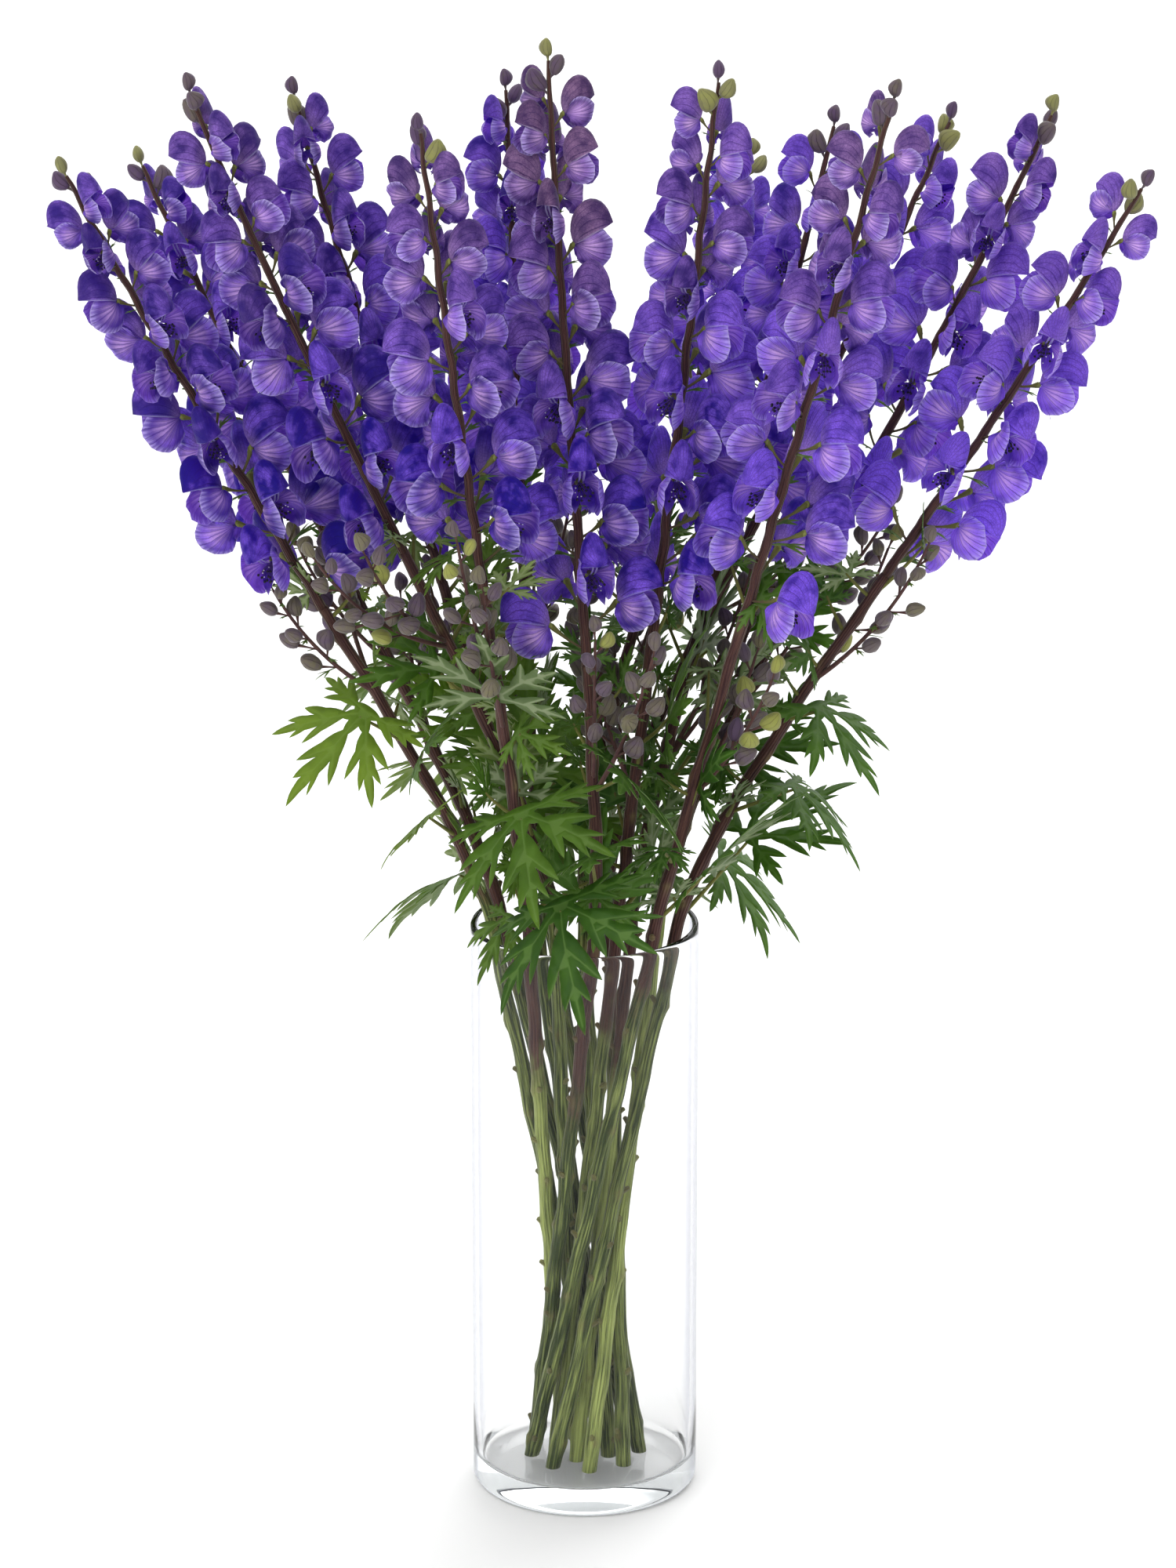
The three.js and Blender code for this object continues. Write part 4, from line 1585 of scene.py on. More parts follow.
@dataclass(frozen=True)
class Vase:
    """A straight glass cylinder with a thick foot, turned round its axis."""

    size: VaseSize = VASE
    sides: int = 128
    rounds: int = 7

    def profile(self) -> Points:
        """Return the outline from the middle of the underside round to the middle of the floor.

        Returns:
            The outline from the middle of the underside round to the middle of the floor.
        """
        s = self.size
        inner = s.radius - s.wall
        shallow = 1.6
        under = [(0, shallow), (s.radius * 0.45, shallow * 0.8), (s.radius * 0.78, 0.35)]
        corner = self._arc((s.radius - s.foot_round, s.foot_round), s.foot_round, -90, 0)
        rim = self._arc((s.radius - s.wall / 2, s.height - s.wall / 2), s.wall / 2, 0, 180)
        hollow = self._arc((inner - s.foot_round, s.floor + s.foot_round), s.foot_round, 0, -90)
        wall = [(s.radius, lerp(s.foot_round, s.height, t)) for t in (0.02, 0.1, 0.3, 0.5, 0.7, 0.9, 0.99)]
        inside = [(inner, lerp(s.height, s.floor, t)) for t in (0.02, 0.1, 0.3, 0.5, 0.7, 0.9)]
        floor = [(s.radius * 0.6, s.floor - 0.3), (s.radius * 0.3, s.floor - 0.7), (0, s.floor - 0.9)]
        return np.array([*under, *corner, *wall, *rim, *inside, *hollow, *floor], float)

    def _arc(self, centre: tuple[float, float], radius: float, start: float,
             end: float) -> list[tuple[float, float]]:
        """Return points of an arc in the outline's plane."""
        angles = [math.radians(lerp(start, end, i / (self.rounds - 1))) for i in range(self.rounds)]
        return [(centre[0] + radius * math.cos(a), centre[1] + radius * math.sin(a)) for a in angles]

    def shape(self) -> Shape:
        """Return the turned glass as one closed mesh.

        Returns:
            The turned glass as one closed mesh.
        """
        outline = self.profile()
        middle = outline[1:-1]
        turns = 2 * np.pi * np.arange(self.sides) / self.sides
        rings = [np.column_stack([r * np.cos(turns), r * np.sin(turns), np.full(self.sides, z)])
                 for r, z in middle]
        ends = [[0, 0, outline[0][1]], [0, 0, outline[-1][1]]]
        points, faces = closed_rings(rings, ends)
        return Shape(points, faces, np.zeros((len(points), 3)))

    def build(self, studio: Studio, glass: bpy.types.Material) -> None:
        """Make the vase."""
        studio.piece("glass_vase", self.shape(), glass, Slot.GLASS, ["vase"])


# Flowers


@dataclass(frozen=True)
class FlowerForm:
    """A monkshood flower in its own frame: x to the front, z up, from its receptacle.

    Sizes are in millimetres. A flower's openness runs from 0, still closed, to 1.
    """

    ridge: tuple[tuple[float, float], ...] = (
        (0.4, 0.6), (-1.8, 7.0), (-1.5, 14.6), (1.5, 21.4), (6.8, 25.8),
        (12.8, 25.6), (17.4, 22.0), (20.0, 17.4), (21.8, 13.0),
    )
    brim: tuple[tuple[float, float], ...] = (
        (0.8, 0.4), (3.8, 3.2), (8.2, 6.4), (13.0, 9.2), (17.4, 11.2), (21.6, 12.8),
    )
    half_width: tuple[float, ...] = (0.8, 3.5, 5.3, 6.1, 6.4, 6.0, 4.8, 2.9, 0.45)
    side_reach: float = 21.2
    side_aim: float = 5
    side_spread: float = 75
    side_bulge: float = 8.6
    tucked_share: float = 0.55
    lower_length: float = 14.6
    lower_drop: float = 10.4
    lower_width: float = 3.1
    stamens: int = 18

    def hood(self, openness: float, seed: float) -> Shape:
        """Return the hood: an arched sheet from the receptacle over the top to its beak.

        Args:
            openness: How far the flower is open, from 0 to 1.
            seed: The number that its draws start from.

        Returns:
            The hood: an arched sheet from the receptacle over the top to its beak.
        """
        rows, columns = 16, 15
        v = np.linspace(0, 1, rows)
        u = np.linspace(-1, 1, columns)
        ridge = smooth_through(np.array(self.ridge), v)
        ridge[:, 0] *= draw(seed, 61, 0.95, 1.02)
        brim = smooth_through(np.array(self.brim), v)
        brim[:, 1] -= (1 - openness) * 2.6 * np.sin(np.pi * v)
        width = smooth_through(np.array(self.half_width)[:, None], v)[:, 0]
        width = width * draw(seed, 3, 0.92, 1.08)
        angle = np.abs(u) * np.pi / 2
        share = 1 - np.cos(angle)
        flat = ridge[:, None] + (brim - ridge)[:, None] * share[None, :, None]
        side = np.sign(u) * (np.sin(angle) + 0.10 * np.abs(u)**6)
        y = width[:, None] * side[None]
        turn = seed * 7
        y = y + 0.42 * np.sin(v[:, None] * 9 + turn + u[None] * 2) * np.abs(u)[None]**1.5
        y = y + 0.30 * np.sin(v[:, None] * 4 + turn * 3) * np.sin(np.pi * v)[:, None]
        dent = 0.35 * np.sin(v[:, None] * 15 + turn * 2 + np.abs(u)[None] * 5) * np.abs(u)[None]
        return sheet(flat[..., 0] + dent, y, flat[..., 1] + dent * 0.6, u[None], v[:, None], 0)

    def side_sepal(self, hand: int, openness: float, seed: float) -> Shape:
        """Return a side sepal: a round bowl that widens from its claw at the receptacle.

        Args:
            hand: 1 for one side, -1 for the other.
            openness: How far the flower is open, from 0 to 1.
            seed: The number that its draws start from.

        Returns:
            A side sepal: a round bowl that widens from its claw at the receptacle.
        """
        rows, columns = 10, 17
        r = np.linspace(0.05, 1, rows)[:, None]
        t = np.linspace(-1, 1, columns)[None]
        off = t * self.side_spread
        tuck = 1.0 if scatter(seed, 76) < self.tucked_share else 0.0
        aim = self.side_aim - 14 * tuck + draw(seed, 70 + hand, -5, 5)
        theta = np.radians(aim + off)
        wave = seed * 11 + hand
        reach = self.side_reach * np.cos(np.radians(off))**0.8 * (0.93 + 0.07 * openness)
        reach = reach * draw(seed, 72 + hand, 0.94, 1.03)
        reach = reach + (0.5 * np.sin(t * 8 + wave) + 0.25 * np.sin(t * 19 + wave * 2)) * (1 - t**2)
        bulge = self.side_bulge - 3.6 * np.clip(off / 62, 0, 1)**2 - 2.6 * np.clip(-off / 56, 0, 1)**2
        close = lerp(0.92, draw(seed, 74, 0.72, 0.82), openness)
        bulge = bulge * (1 - tuck * 0.55 * np.clip((aim + off - 16) / 40, 0, 1))
        curl = close * (1 - (1 - tuck) * 0.36 * np.clip(off / 60, 0, 1))
        y = 1.1 + bulge * np.sin(np.pi * r**0.88 * curl)
        y = y + (0.42 * np.sin(t * 15 + wave) + 0.30 * np.sin(t * 33 + wave * 3)) * r**4
        x = 0.9 + reach * r * np.cos(theta)
        z = 0.4 + reach * r * np.sin(theta) + 0.35 * np.sin(t * 13 + wave) * r**3
        return sheet(x, hand * y, z, t, r, 1)

    def lower_sepal(self, hand: int, openness: float, seed: float) -> Shape:
        """Return a lower sepal: a narrow pointed tongue that hangs forward.

        Args:
            hand: 1 for one side, -1 for the other.
            openness: How far the flower is open, from 0 to 1.
            seed: The number that its draws start from.

        Returns:
            A lower sepal: a narrow pointed tongue that hangs forward.
        """
        rows, columns = 8, 5
        s = np.linspace(0, 1, rows)[:, None]
        t = np.linspace(-1, 1, columns)[None]
        length = self.lower_length * draw(seed, 20 + hand, 0.88, 1.04) * lerp(0.78, 1, openness)
        drop = self.lower_drop * lerp(0.62, 1, openness) * draw(seed, 24 + hand, 0.85, 1.05)
        width = self.lower_width * np.sin(np.pi * (0.10 + 0.90 * s**0.85))**0.8 + 0.08
        x = 1.6 + length * s - 1.2 * s**2 - 0.5 * t**2 * width * 0.3
        y = hand * (1.3 + (1.4 + 1.6 * openness) * s) + t * width
        z = -0.7 - drop * (0.55 * s + 0.45 * s**2) - 0.4 * (1 - t**2) * width * 0.5
        z = z + 0.35 * np.sin(s * 9 + seed * 5 + t * 2)
        return sheet(x, y, z, t, s, 2)

    def nectary(self, hand: int) -> Shape:
        """Return one of the two pale strips that climb from the mouth into the hood.

        Args:
            hand: 1 for one side, -1 for the other.

        Returns:
            One of the two pale strips that climb from the mouth into the hood.
        """
        rows = 6
        line = smooth_through(np.array([(3.0, 0.8), (8.0, 3.2), (12.5, 9.0), (12.6, 16.0)]),
                              np.linspace(0, 1, rows))
        half = 0.5 * np.sin(np.pi * (0.15 + 0.7 * np.linspace(0, 1, rows)))
        edges = [np.column_stack([line[:, 0], hand * 1.0 + side * half, line[:, 1]]) for side in (-1, 1)]
        points = np.stack(edges, axis=1).reshape(-1, 3)
        grain = np.column_stack([np.tile([-0.4, 0.4], rows), np.repeat(np.linspace(0, 1, rows), 2),
                                 np.full(2 * rows, 3.0)])
        return Shape(points, [grid_faces(rows, 2)], grain)

    def petals(self, openness: float, seed: float) -> Shape:
        """Return all the sepals of one flower, and its nectaries.

        Args:
            openness: How far the flower is open, from 0 to 1.
            seed: The number that its draws start from.

        Returns:
            All the sepals of one flower, and its nectaries.
        """
        parts = [self.hood(openness, seed)]
        for hand in (-1, 1):
            parts.append(self.side_sepal(hand, openness, seed))
            parts.append(self.lower_sepal(hand, openness, seed))
            if openness > 0.5:
                parts.append(self.nectary(hand))
        return Shape.joined(part.toned(0, 0, 0) for part in parts)

    def stamen_tuft(self, seed: float) -> Shape:
        """Return the tuft of stamens in the mouth.

        Args:
            seed: The number that its draws start from.

        Returns:
            The tuft of stamens in the mouth.
        """
        parts = []
        for i in range(self.stamens):
            spread = 0.40 * math.sqrt((i + 0.5) / self.stamens)
            turn = math.radians(i * GOLDEN_ANGLE + 360 * scatter(seed, 31))
            heading = unit(np.array([1.0, spread * math.cos(turn) * 0.9, spread * math.sin(turn) - 0.10]))
            length = draw(seed, 50 + i, 9.0, 13.0)
            start = np.array([2.0, heading[1] * 1.4, heading[2] * 1.4])
            end = start + heading * length
            parts.append(self._thread(start, end))
            white = i % 5 == 2
            parts.append(self._anther(end, heading, 0.40 if white else 0.82, 2.0 if white else 1.0))
        return Shape.joined(part.toned(0, 0, 0) for part in parts)

    def _thread(self, start: Points, end: Points) -> Shape:
        """Return a stamen's thread, three-sided.

        Args:
            start: Its foot.
            end: Its tip.

        Returns:
            A stamen's thread, three-sided.
        """
        side = unit(cross(end - start, UP))
        other = unit(cross(end - start, side))
        turns = 2 * np.pi * np.arange(3) / 3
        ring = np.outer(np.cos(turns), side) + np.outer(np.sin(turns), other)
        points = np.vstack([start + ring * 0.16, end + ring * 0.12])
        grain = np.column_stack([np.zeros(6), np.repeat([0.0, 8.0], 3), np.zeros(6)])
        return Shape(points, [grid_faces(2, 3, closed=True)], grain)

    def _anther(self, centre: Points, heading: Points, radius: float, part: float) -> Shape:
        """Return an anther, eight-faced.

        Args:
            centre: Its middle.
            heading: The direction that it points in.
            radius: Its half thickness.
            part: The part number that its grain carries.

        Returns:
            An anther, eight-faced.
        """
        side = unit(cross(heading, UP))
        other = cross(heading, side)
        tips = [heading * 1.25, side, other, -side, -other, -heading * 1.25]
        points = centre + np.array(tips) * radius
        faces = np.array([[0, 1, 2], [0, 2, 3], [0, 3, 4], [0, 4, 1],
                          [5, 2, 1], [5, 3, 2], [5, 4, 3], [5, 1, 4]])
        return Shape(points, [faces], np.column_stack([np.zeros((6, 2)), np.full(6, part)]))


@dataclass(frozen=True)
class BudForm:
    """A closed bud: a small helmet on a thin stalk."""

    rows: int = 8
    columns: int = 10

    def body(self, bud: Bud, seed: float) -> Shape:
        """Return the bud's body.

        Args:
            bud: The bud.
            seed: The number that its draws start from.

        Returns:
            The bud's body.
        """
        lean = unit(bud.along + UP * 0.35)
        out, side = square_to(lean, draw(seed, 3, 0, 360))
        start = bud.root + bud.along * bud.length
        v = np.linspace(0.0, 1.0, self.rows)
        swell = np.sin(np.pi * (0.07 + 0.90 * v)**0.94)**0.58 * 0.47 * bud.size
        turns = 2 * np.pi * np.arange(self.columns) / self.columns
        groove = 1 + 0.05 * np.cos(3 * turns)
        rings = []
        for share, radius in zip(v, swell):
            centre = start + lean * share * bud.size * 1.08 + out * 0.16 * bud.size * math.sin(3 * share)
            wide = np.outer(np.cos(turns) * groove, out) + np.outer(np.sin(turns) * groove * 0.8, side)
            rings.append(centre + radius * wide)
        count = self.rows * self.columns
        ends = np.array([rings[0].mean(axis=0), rings[-1].mean(axis=0) + lean * 0.3])
        turn = np.abs(np.arange(self.columns) / self.columns * 2 - 1)
        grain = np.column_stack([np.tile(turn, self.rows), np.repeat(v, self.columns), np.zeros(count)])
        grain = np.vstack([grain, [[0, 0, 0], [0, 1, 0]]])
        return Shape(*closed_rings(rings, ends), grain)

    def stalk(self, bud: Bud) -> Shape:
        """Return the bud's own stalk, thicker under the bud.

        Args:
            bud: The bud.

        Returns:
            The bud's own stalk, thicker under the bud.
        """
        end = bud.root + bud.along * (bud.length + 0.4)
        line = bent(bud.root - bud.along * 0.5, bud.root + bud.along * bud.length * 0.6, end, 5)
        return tube(line, np.array([0.55, 0.5, 0.55, 0.8, 1.15]), 6, part=0)


@dataclass(frozen=True)
class BractForm:
    """A small leafy bract of three narrow fingers."""

    fingers: tuple[tuple[float, float], ...] = ((0, 1.0), (-34, 0.62), (34, 0.62))
    rows: int = 6

    def shape(self, root: Points, heading: Points, up: Points, length: float, width: float) -> Shape:
        """Return the bract.

        Args:
            root: Where it grows from.
            heading: Where it points.
            up: Where its upper face looks.
            length: Its length.
            width: The width of its middle finger.

        Returns:
            The fingers, each a folded strip.
        """
        place = Place.facing(root, heading, up, 1)
        parts = []
        for bearing, share in self.fingers:
            turn = math.radians(bearing)
            s = np.linspace(0, 1, self.rows)
            start = 0.0 if bearing == 0 else 0.34 * length
            reach = length * share * s
            half = 0.5 * width * (0.25 + 0.75 * np.sin(np.pi * s**0.7))
            half = half * (1 if bearing == 0 else 0.75)
            half[-1] = 0.03
            x = start + reach * math.cos(turn) * (1 if bearing == 0 else 0.8)
            y = reach * math.sin(turn) * 0.8
            z = -0.012 * x**2
            edge_x, edge_y = -math.sin(turn) * half, math.cos(turn) * half
            left = np.column_stack([x + edge_x, y + edge_y, z + half * 0.5])
            right = np.column_stack([x - edge_x, y - edge_y, z + half * 0.5])
            line = np.column_stack([x, y, z])
            points = np.stack([left, line, right], axis=1).reshape(-1, 3)
            grain = np.column_stack([np.tile([-1.0, 0.0, 1.0], self.rows), np.repeat(s, 3),
                                     np.full(3 * self.rows, 2.0)])
            parts.append(Shape(points, [grid_faces(self.rows, 3)], grain).toned(0, 0, 0))
        return Shape.joined(parts).put(place)


class Raceme:
    """The flowering part of one stem: rachis, pedicels, bracts, flowers and tip buds."""

    RACHIS_SIDES = 8
    OPEN_BY = 0.62
    form = FlowerForm()
    bud_form = BudForm()
    bract_form = BractForm()

    def __init__(self, layout: Layout, stem: int) -> None:
        """Note which stem this raceme ends.

        Args:
            layout: Where everything is.
            stem: The stem's number.
        """
        self.layout = layout
        self.stem = stem
        self.label = f"{stem + 1:02d}"
        self.path = layout.paths[stem]
        self.flowers = layout.flowers[stem]

    def _age(self, i: int) -> float:
        """Return a flower's age, from 0 at the foot of the raceme to 1 at its tip."""
        return i / (len(self.flowers) - 1)

    def petals(self) -> Shape:
        """Return the sepals of all the flowers.

        Returns:
            The sepals of all the flowers.
        """
        parts = []
        for i, flower in enumerate(self.flowers):
            age = self._age(i)
            seed = self.stem * 40 + i
            openness = float(np.clip((1 - age) / (1 - self.OPEN_BY) + draw(seed, 4, -0.3, 0.3), 0, 1))
            dusk = STEMS[self.stem].dusk * np.clip(age * 1.5 - 0.25 + draw(seed, 6, -0.2, 0.2), 0, 1)
            shape = self.form.petals(openness, scatter(seed, 5) * 6)
            # Lighter towards the right: a draw of the flower's own, mixed with how far right its stem's
            # tip stands.
            light = 0.45 * scatter(seed, 7) + 0.55 * (STEMS[self.stem].tip[0] + 260) / 540
            parts.append(shape.put(flower.place).toned(age, light, float(dusk)))
        return Shape.joined(parts)

    def stamens(self) -> Shape:
        """Return the stamens of the flowers that are open.

        Returns:
            The stamens of the flowers that are open.
        """
        parts = []
        for i, flower in enumerate(self.flowers):
            if self._age(i) < 0.9:
                tuft = self.form.stamen_tuft(self.stem * 40 + i)
                parts.append(tuft.put(flower.place))
        return Shape.joined(parts)

    def rachis(self) -> Shape:
        """Return the stalk through the flowers, which sways a little from side to side.

        Returns:
            The stalk through the flowers, which sways a little from side to side.
        """
        length = STEMS[self.stem].raceme
        drops = np.linspace(length, 0, int(length / 5))
        centres = []
        radii = []
        for drop in drops:
            sway = 0.5 * math.sin(drop * 0.21 + self.stem)
            out, _ = square_to(self.path.heading(drop), self.stem * 50)
            centres.append(self.path.point(drop) + out * sway)
            radii.append(self.path.thickness(drop) * (1 + 0.05 * math.sin(drop * 0.65)))
        rachis = tube(np.array(centres), np.array(radii), self.RACHIS_SIDES)
        return rachis.toned(1, scatter(self.stem, 9), 0)

    def greens(self) -> Shape:
        """Return the pedicels with their knobs, and the bracts below them.

        Returns:
            The pedicels with their knobs, and the bracts below them.
        """
        parts = []
        for i, flower in enumerate(self.flowers):
            age = self._age(i)
            seed = self.stem * 40 + i
            parts.extend(part.toned(age, scatter(seed, 8), 0) for part in self._pedicel(flower, age, seed))
        return Shape.joined(parts)

    def _pedicel(self, flower: Item, age: float, seed: float) -> Iterator[Shape]:
        """Yield a flower's pedicel, its knob and its bract.

        Args:
            flower: The flower.
            age: Its age, from 0 for the tip to 1 for the foot.
            seed: The number that its draws start from.

        Returns:
            A flower's pedicel, its knob and its bract.
        """
        origin = flower.place.origin
        reach = origin - flower.root
        length = math.sqrt(float(reach @ reach))
        heading = self.path.heading(0)
        start = flower.root + flower.along * 0.6
        middle = flower.root + reach * 0.55 - heading * length * 0.10
        centres = bent(start, middle, origin, 8)
        scale = flower.place.scale
        radii = scale * np.array([0.85, 0.7, 0.65, 0.65, 0.75, 1.0, 1.45, 1.75])
        pedicel = tube(centres, radii, 6)
        pedicel.grain[:, 1] /= length
        yield pedicel
        knob = origin + flower.place.axes[0] * 0.9 * scale
        line = np.array([origin - flower.place.axes[0] * 0.8 * scale, origin, knob])
        yield tube(line, scale * np.array([1.3, 2.1, 1.5]), 8, part=1)
        thick = self.path.thickness(0)
        out = unit(flower.along - heading * float(flower.along @ heading))
        at = flower.root + out * thick - heading * 1.5
        size = lerp(30, 5, age**0.5) * draw(seed, 12, 0.75, 1.25)
        aim = unit(out * 0.75 + heading * draw(seed, 13, 0.45, 1.0))
        yield self.bract_form.shape(at, aim, unit(heading - out * 0.4), size, lerp(4.2, 1.3, age**0.6))
        small = start + (origin - start) * 0.62
        _, side = square_to(unit(reach), 0)
        aim = unit(unit(reach) + side * 0.6)
        yield self.bract_form.shape(small, aim, side, 4.5 * scale, 0.8)

    def buds(self) -> Shape:
        """Return the closed buds at the tip.

        Returns:
            The closed buds at the tip.
        """
        parts = []
        for i, bud in enumerate(self.layout.tips[self.stem]):
            seed = self.stem * 9 + i
            ripe = 0.55 if scatter(seed, 14) > 0.7 else 0.0
            parts.append(self.bud_form.body(bud, seed).toned(ripe, scatter(seed, 15), 0))
            parts.append(self.bud_form.stalk(bud).toned(ripe, 0.8, 0))
        return Shape.joined(parts)

    def build(self, studio: Studio, finishes: dict[str, bpy.types.Material]) -> None:
        """Make the raceme's pieces, which together stand for its one solid.

        Args:
            studio: Makes the objects.
            finishes: The materials by name.
        """
        node = [f"raceme_{self.label}"]
        studio.piece(f"petals_{self.label}", self.petals(), finishes["petals"], Slot.PETALS, node)
        studio.piece(f"stamens_{self.label}", self.stamens(), finishes["stamens"], Slot.PETALS, node)
        studio.piece(f"rachis_{self.label}", self.rachis(), finishes["stalk"], Slot.FOLIAGE, node)
        studio.piece(f"pedicels_{self.label}", self.greens(), finishes["greens"], Slot.FOLIAGE, node)
        studio.piece(f"tip_buds_{self.label}", self.buds(), finishes["buds"], Slot.PETALS, node)


# Leafy stems


@dataclass
class LeafForm:
    """A palmate leaf blade of five lobes, each cut deep into narrow pointed fingers.

    Attributes:
        layout: The layout, which gives the lobes' bearings and lengths.
        cuts: Along each side of a lobe, from its foot to its tip: the way along and the distance
            off its midrib, in shares of its length, and whether that corner is a finger's tip.
        sinus: How far out the notches between lobes lie, in shares of the shorter lobe.
        thick: The blade's thickness.
        mesh_step: The spacing of the points inside the blade.
        kinds: How many different blades are cut.
    """

    layout: Layout
    cuts: tuple[tuple[float, float, bool], ...] = (
        (0.22, 0.034, False), (0.42, 0.118, False), (0.665, 0.232, True),
        (0.500, 0.062, False), (0.63, 0.080, False), (0.815, 0.126, True),
        (0.715, 0.044, False), (0.85, 0.040, False),
    )
    sinus: float = 0.17
    thick: float = 0.5
    mesh_step: float = 3.4
    kinds: int = 5
    blades: list[tuple[Points, Faces, Points, int]] = field(default_factory=list)

    def __post_init__(self) -> None:
        """Cut a few blades that the leaves then take turns with."""
        self.blades = [self._blade(seed) for seed in range(self.kinds)]

    def _lobe_side(self, length: float, hand: int, seed: float) -> list[tuple[float, float]]:
        """Return the corners of one side of a lobe, in its own frame, from foot to tip.

        Args:
            length: The lobe's length.
            hand: 1 for one side, -1 for the other.
            seed: The number that its draws start from.

        Returns:
            The corners of one side of a lobe, in its own frame, from foot to tip.
        """
        corners = []
        for k, (along, off, tip) in enumerate(self.cuts):
            along = along + draw(seed, k + hand, -0.03, 0.03)
            off = off * (draw(seed, k + 17 + hand, 0.84, 1.06) if tip else draw(seed, k + 27, 0.9, 1.1))
            corners.append((along * length, hand * off * length))
        return corners

    def _outline(self, seed: int) -> tuple[Points, list[tuple[Points, Points]]]:
        """Return a blade's outline in its plane, and its veins as pairs of points.

        Args:
            seed: The number that its draws start from.

        Returns:
            A blade's outline in its plane, and its veins as pairs of points.
        """
        corners: list[Points] = [np.array([-3.6, -1.2])]
        veins: list[tuple[Points, Points]] = []
        lobes = self.layout.LOBES
        for i, (bearing, length) in enumerate(lobes):
            turn = math.radians(bearing)
            axis = np.array([math.cos(turn), math.sin(turn)])
            square = np.array([-axis[1], axis[0]])
            sides = [
                [(axis * along + square * off, along, off)
                 for along, off in self._lobe_side(length, hand, seed * 10 + i + 0.37 * hand)]
                for hand in (-1, 1)
            ]
            tip = axis * length
            corners.extend(point for point, _, _ in sides[0])
            corners.append(tip)
            corners.extend(point for point, _, _ in reversed(sides[1]))
            veins.append((np.zeros(2), tip))
            for side in sides:
                for (point, along, off), (_, _, is_tip) in zip(side, self.cuts):
                    if is_tip:
                        veins.append((axis * (along - abs(off) * 1.35), point))
            if i + 1 < len(lobes):
                middle = math.radians((bearing + lobes[i + 1][0]) / 2)
                reach = min(length, lobes[i + 1][1]) * self.sinus
                corners.append(reach * np.array([math.cos(middle), math.sin(middle)]))
        corners.append(np.array([-3.6, 1.2]))
        return self._rounded(corners), veins

    def _rounded(self, corners: list[Points]) -> Points:
        """Return the outline with bowed edges between its corners, in short steps.

        Args:
            corners: The corners, in order.

        Returns:
            The outline with bowed edges between its corners, in short steps.
        """
        outline = []
        for a, b in zip(corners, corners[1:] + corners[:1]):
            edge = b - a
            length = math.sqrt(float(edge @ edge))
            square = np.array([edge[1], -edge[0]]) / max(length, 1e-6)
            steps = max(1, int(round(length / 2.8)))
            for k in range(steps):
                share = k / steps
                bow = 0.05 * length * math.sin(math.pi * share)
                outline.append(a + edge * share + square * bow)
        return np.array(outline)

    def _blade(self, seed: int) -> tuple[Points, Faces, Points, int]:
        """Return one flat blade.

        Args:
            seed: The number that its draws start from.

        Returns:
            Its points, triangles, distances to the nearest vein, and how many points lie on
            the outline, which come first.
        """
        outline, veins = self._outline(seed)
        count = len(outline)
        extra: list[Points] = []
        edges = [(k, (k + 1) % count) for k in range(count)]
        for start, end in veins:
            steps = max(2, int(math.dist(start, end) / 4))
            shares = np.linspace(0.0, 0.94, steps + 1)
            base = count + len(extra)
            extra.extend(start + (end - start) * share for share in shares)
            edges.extend((base + k, base + k + 1) for k in range(steps))
        low, high = outline.min(axis=0), outline.max(axis=0)
        step = self.mesh_step
        for row, y in enumerate(np.arange(low[1], high[1], step * 0.87)):
            for x in np.arange(low[0] + (row % 2) * step / 2, high[0], step):
                point = np.array([x, y])
                if self._clear(point, outline, extra, step * 0.55) and self._inside(point, outline):
                    extra.append(point)
        flat = [tuple(point) for point in (*outline, *extra)]
        points, _, faces, *_ = delaunay_2d_cdt(flat, edges, [list(range(count))], 1, 1e-4)
        where = np.array([tuple(point) for point in points], float)
        return where, np.array(faces), self._off_veins(where, veins), count

    def _clear(self, point: Points, outline: Points, extra: list[Points], gap: float) -> bool:
        """Return whether a point keeps a gap to the points already there."""
        others = np.vstack([outline, extra])
        return float(((others - point)**2).sum(axis=1).min()) > gap**2

    def _inside(self, point: Points, outline: Points) -> bool:
        """Return whether a point lies inside the outline.

        Args:
            point: The point.
            outline: The outline's points.

        Returns:
            Whether a point lies inside the outline.
        """
        after = np.roll(outline, -1, axis=0)
        crosses = (outline[:, 1] > point[1]) != (after[:, 1] > point[1])
        rise = np.where(crosses, after[:, 1] - outline[:, 1], 1.0)
        at = outline[:, 0] + (point[1] - outline[:, 1]) * (after[:, 0] - outline[:, 0]) / rise
        return bool(np.count_nonzero(crosses & (at > point[0])) % 2)

    def _off_veins(self, where: Points, veins: list[tuple[Points, Points]]) -> Points:
        """Return each point's distance to the nearest vein.

        Args:
            where: The points.
            veins: The veins, as pairs of points.

        Returns:
            Each point's distance to the nearest vein.
        """
        best = np.full(len(where), np.inf)
        for start, end in veins:
            line = end - start
            share = np.clip((where - start) @ line / float(line @ line), 0, 1)
            best = np.minimum(best, np.linalg.norm(where - start - share[:, None] * line, axis=1))
        return best

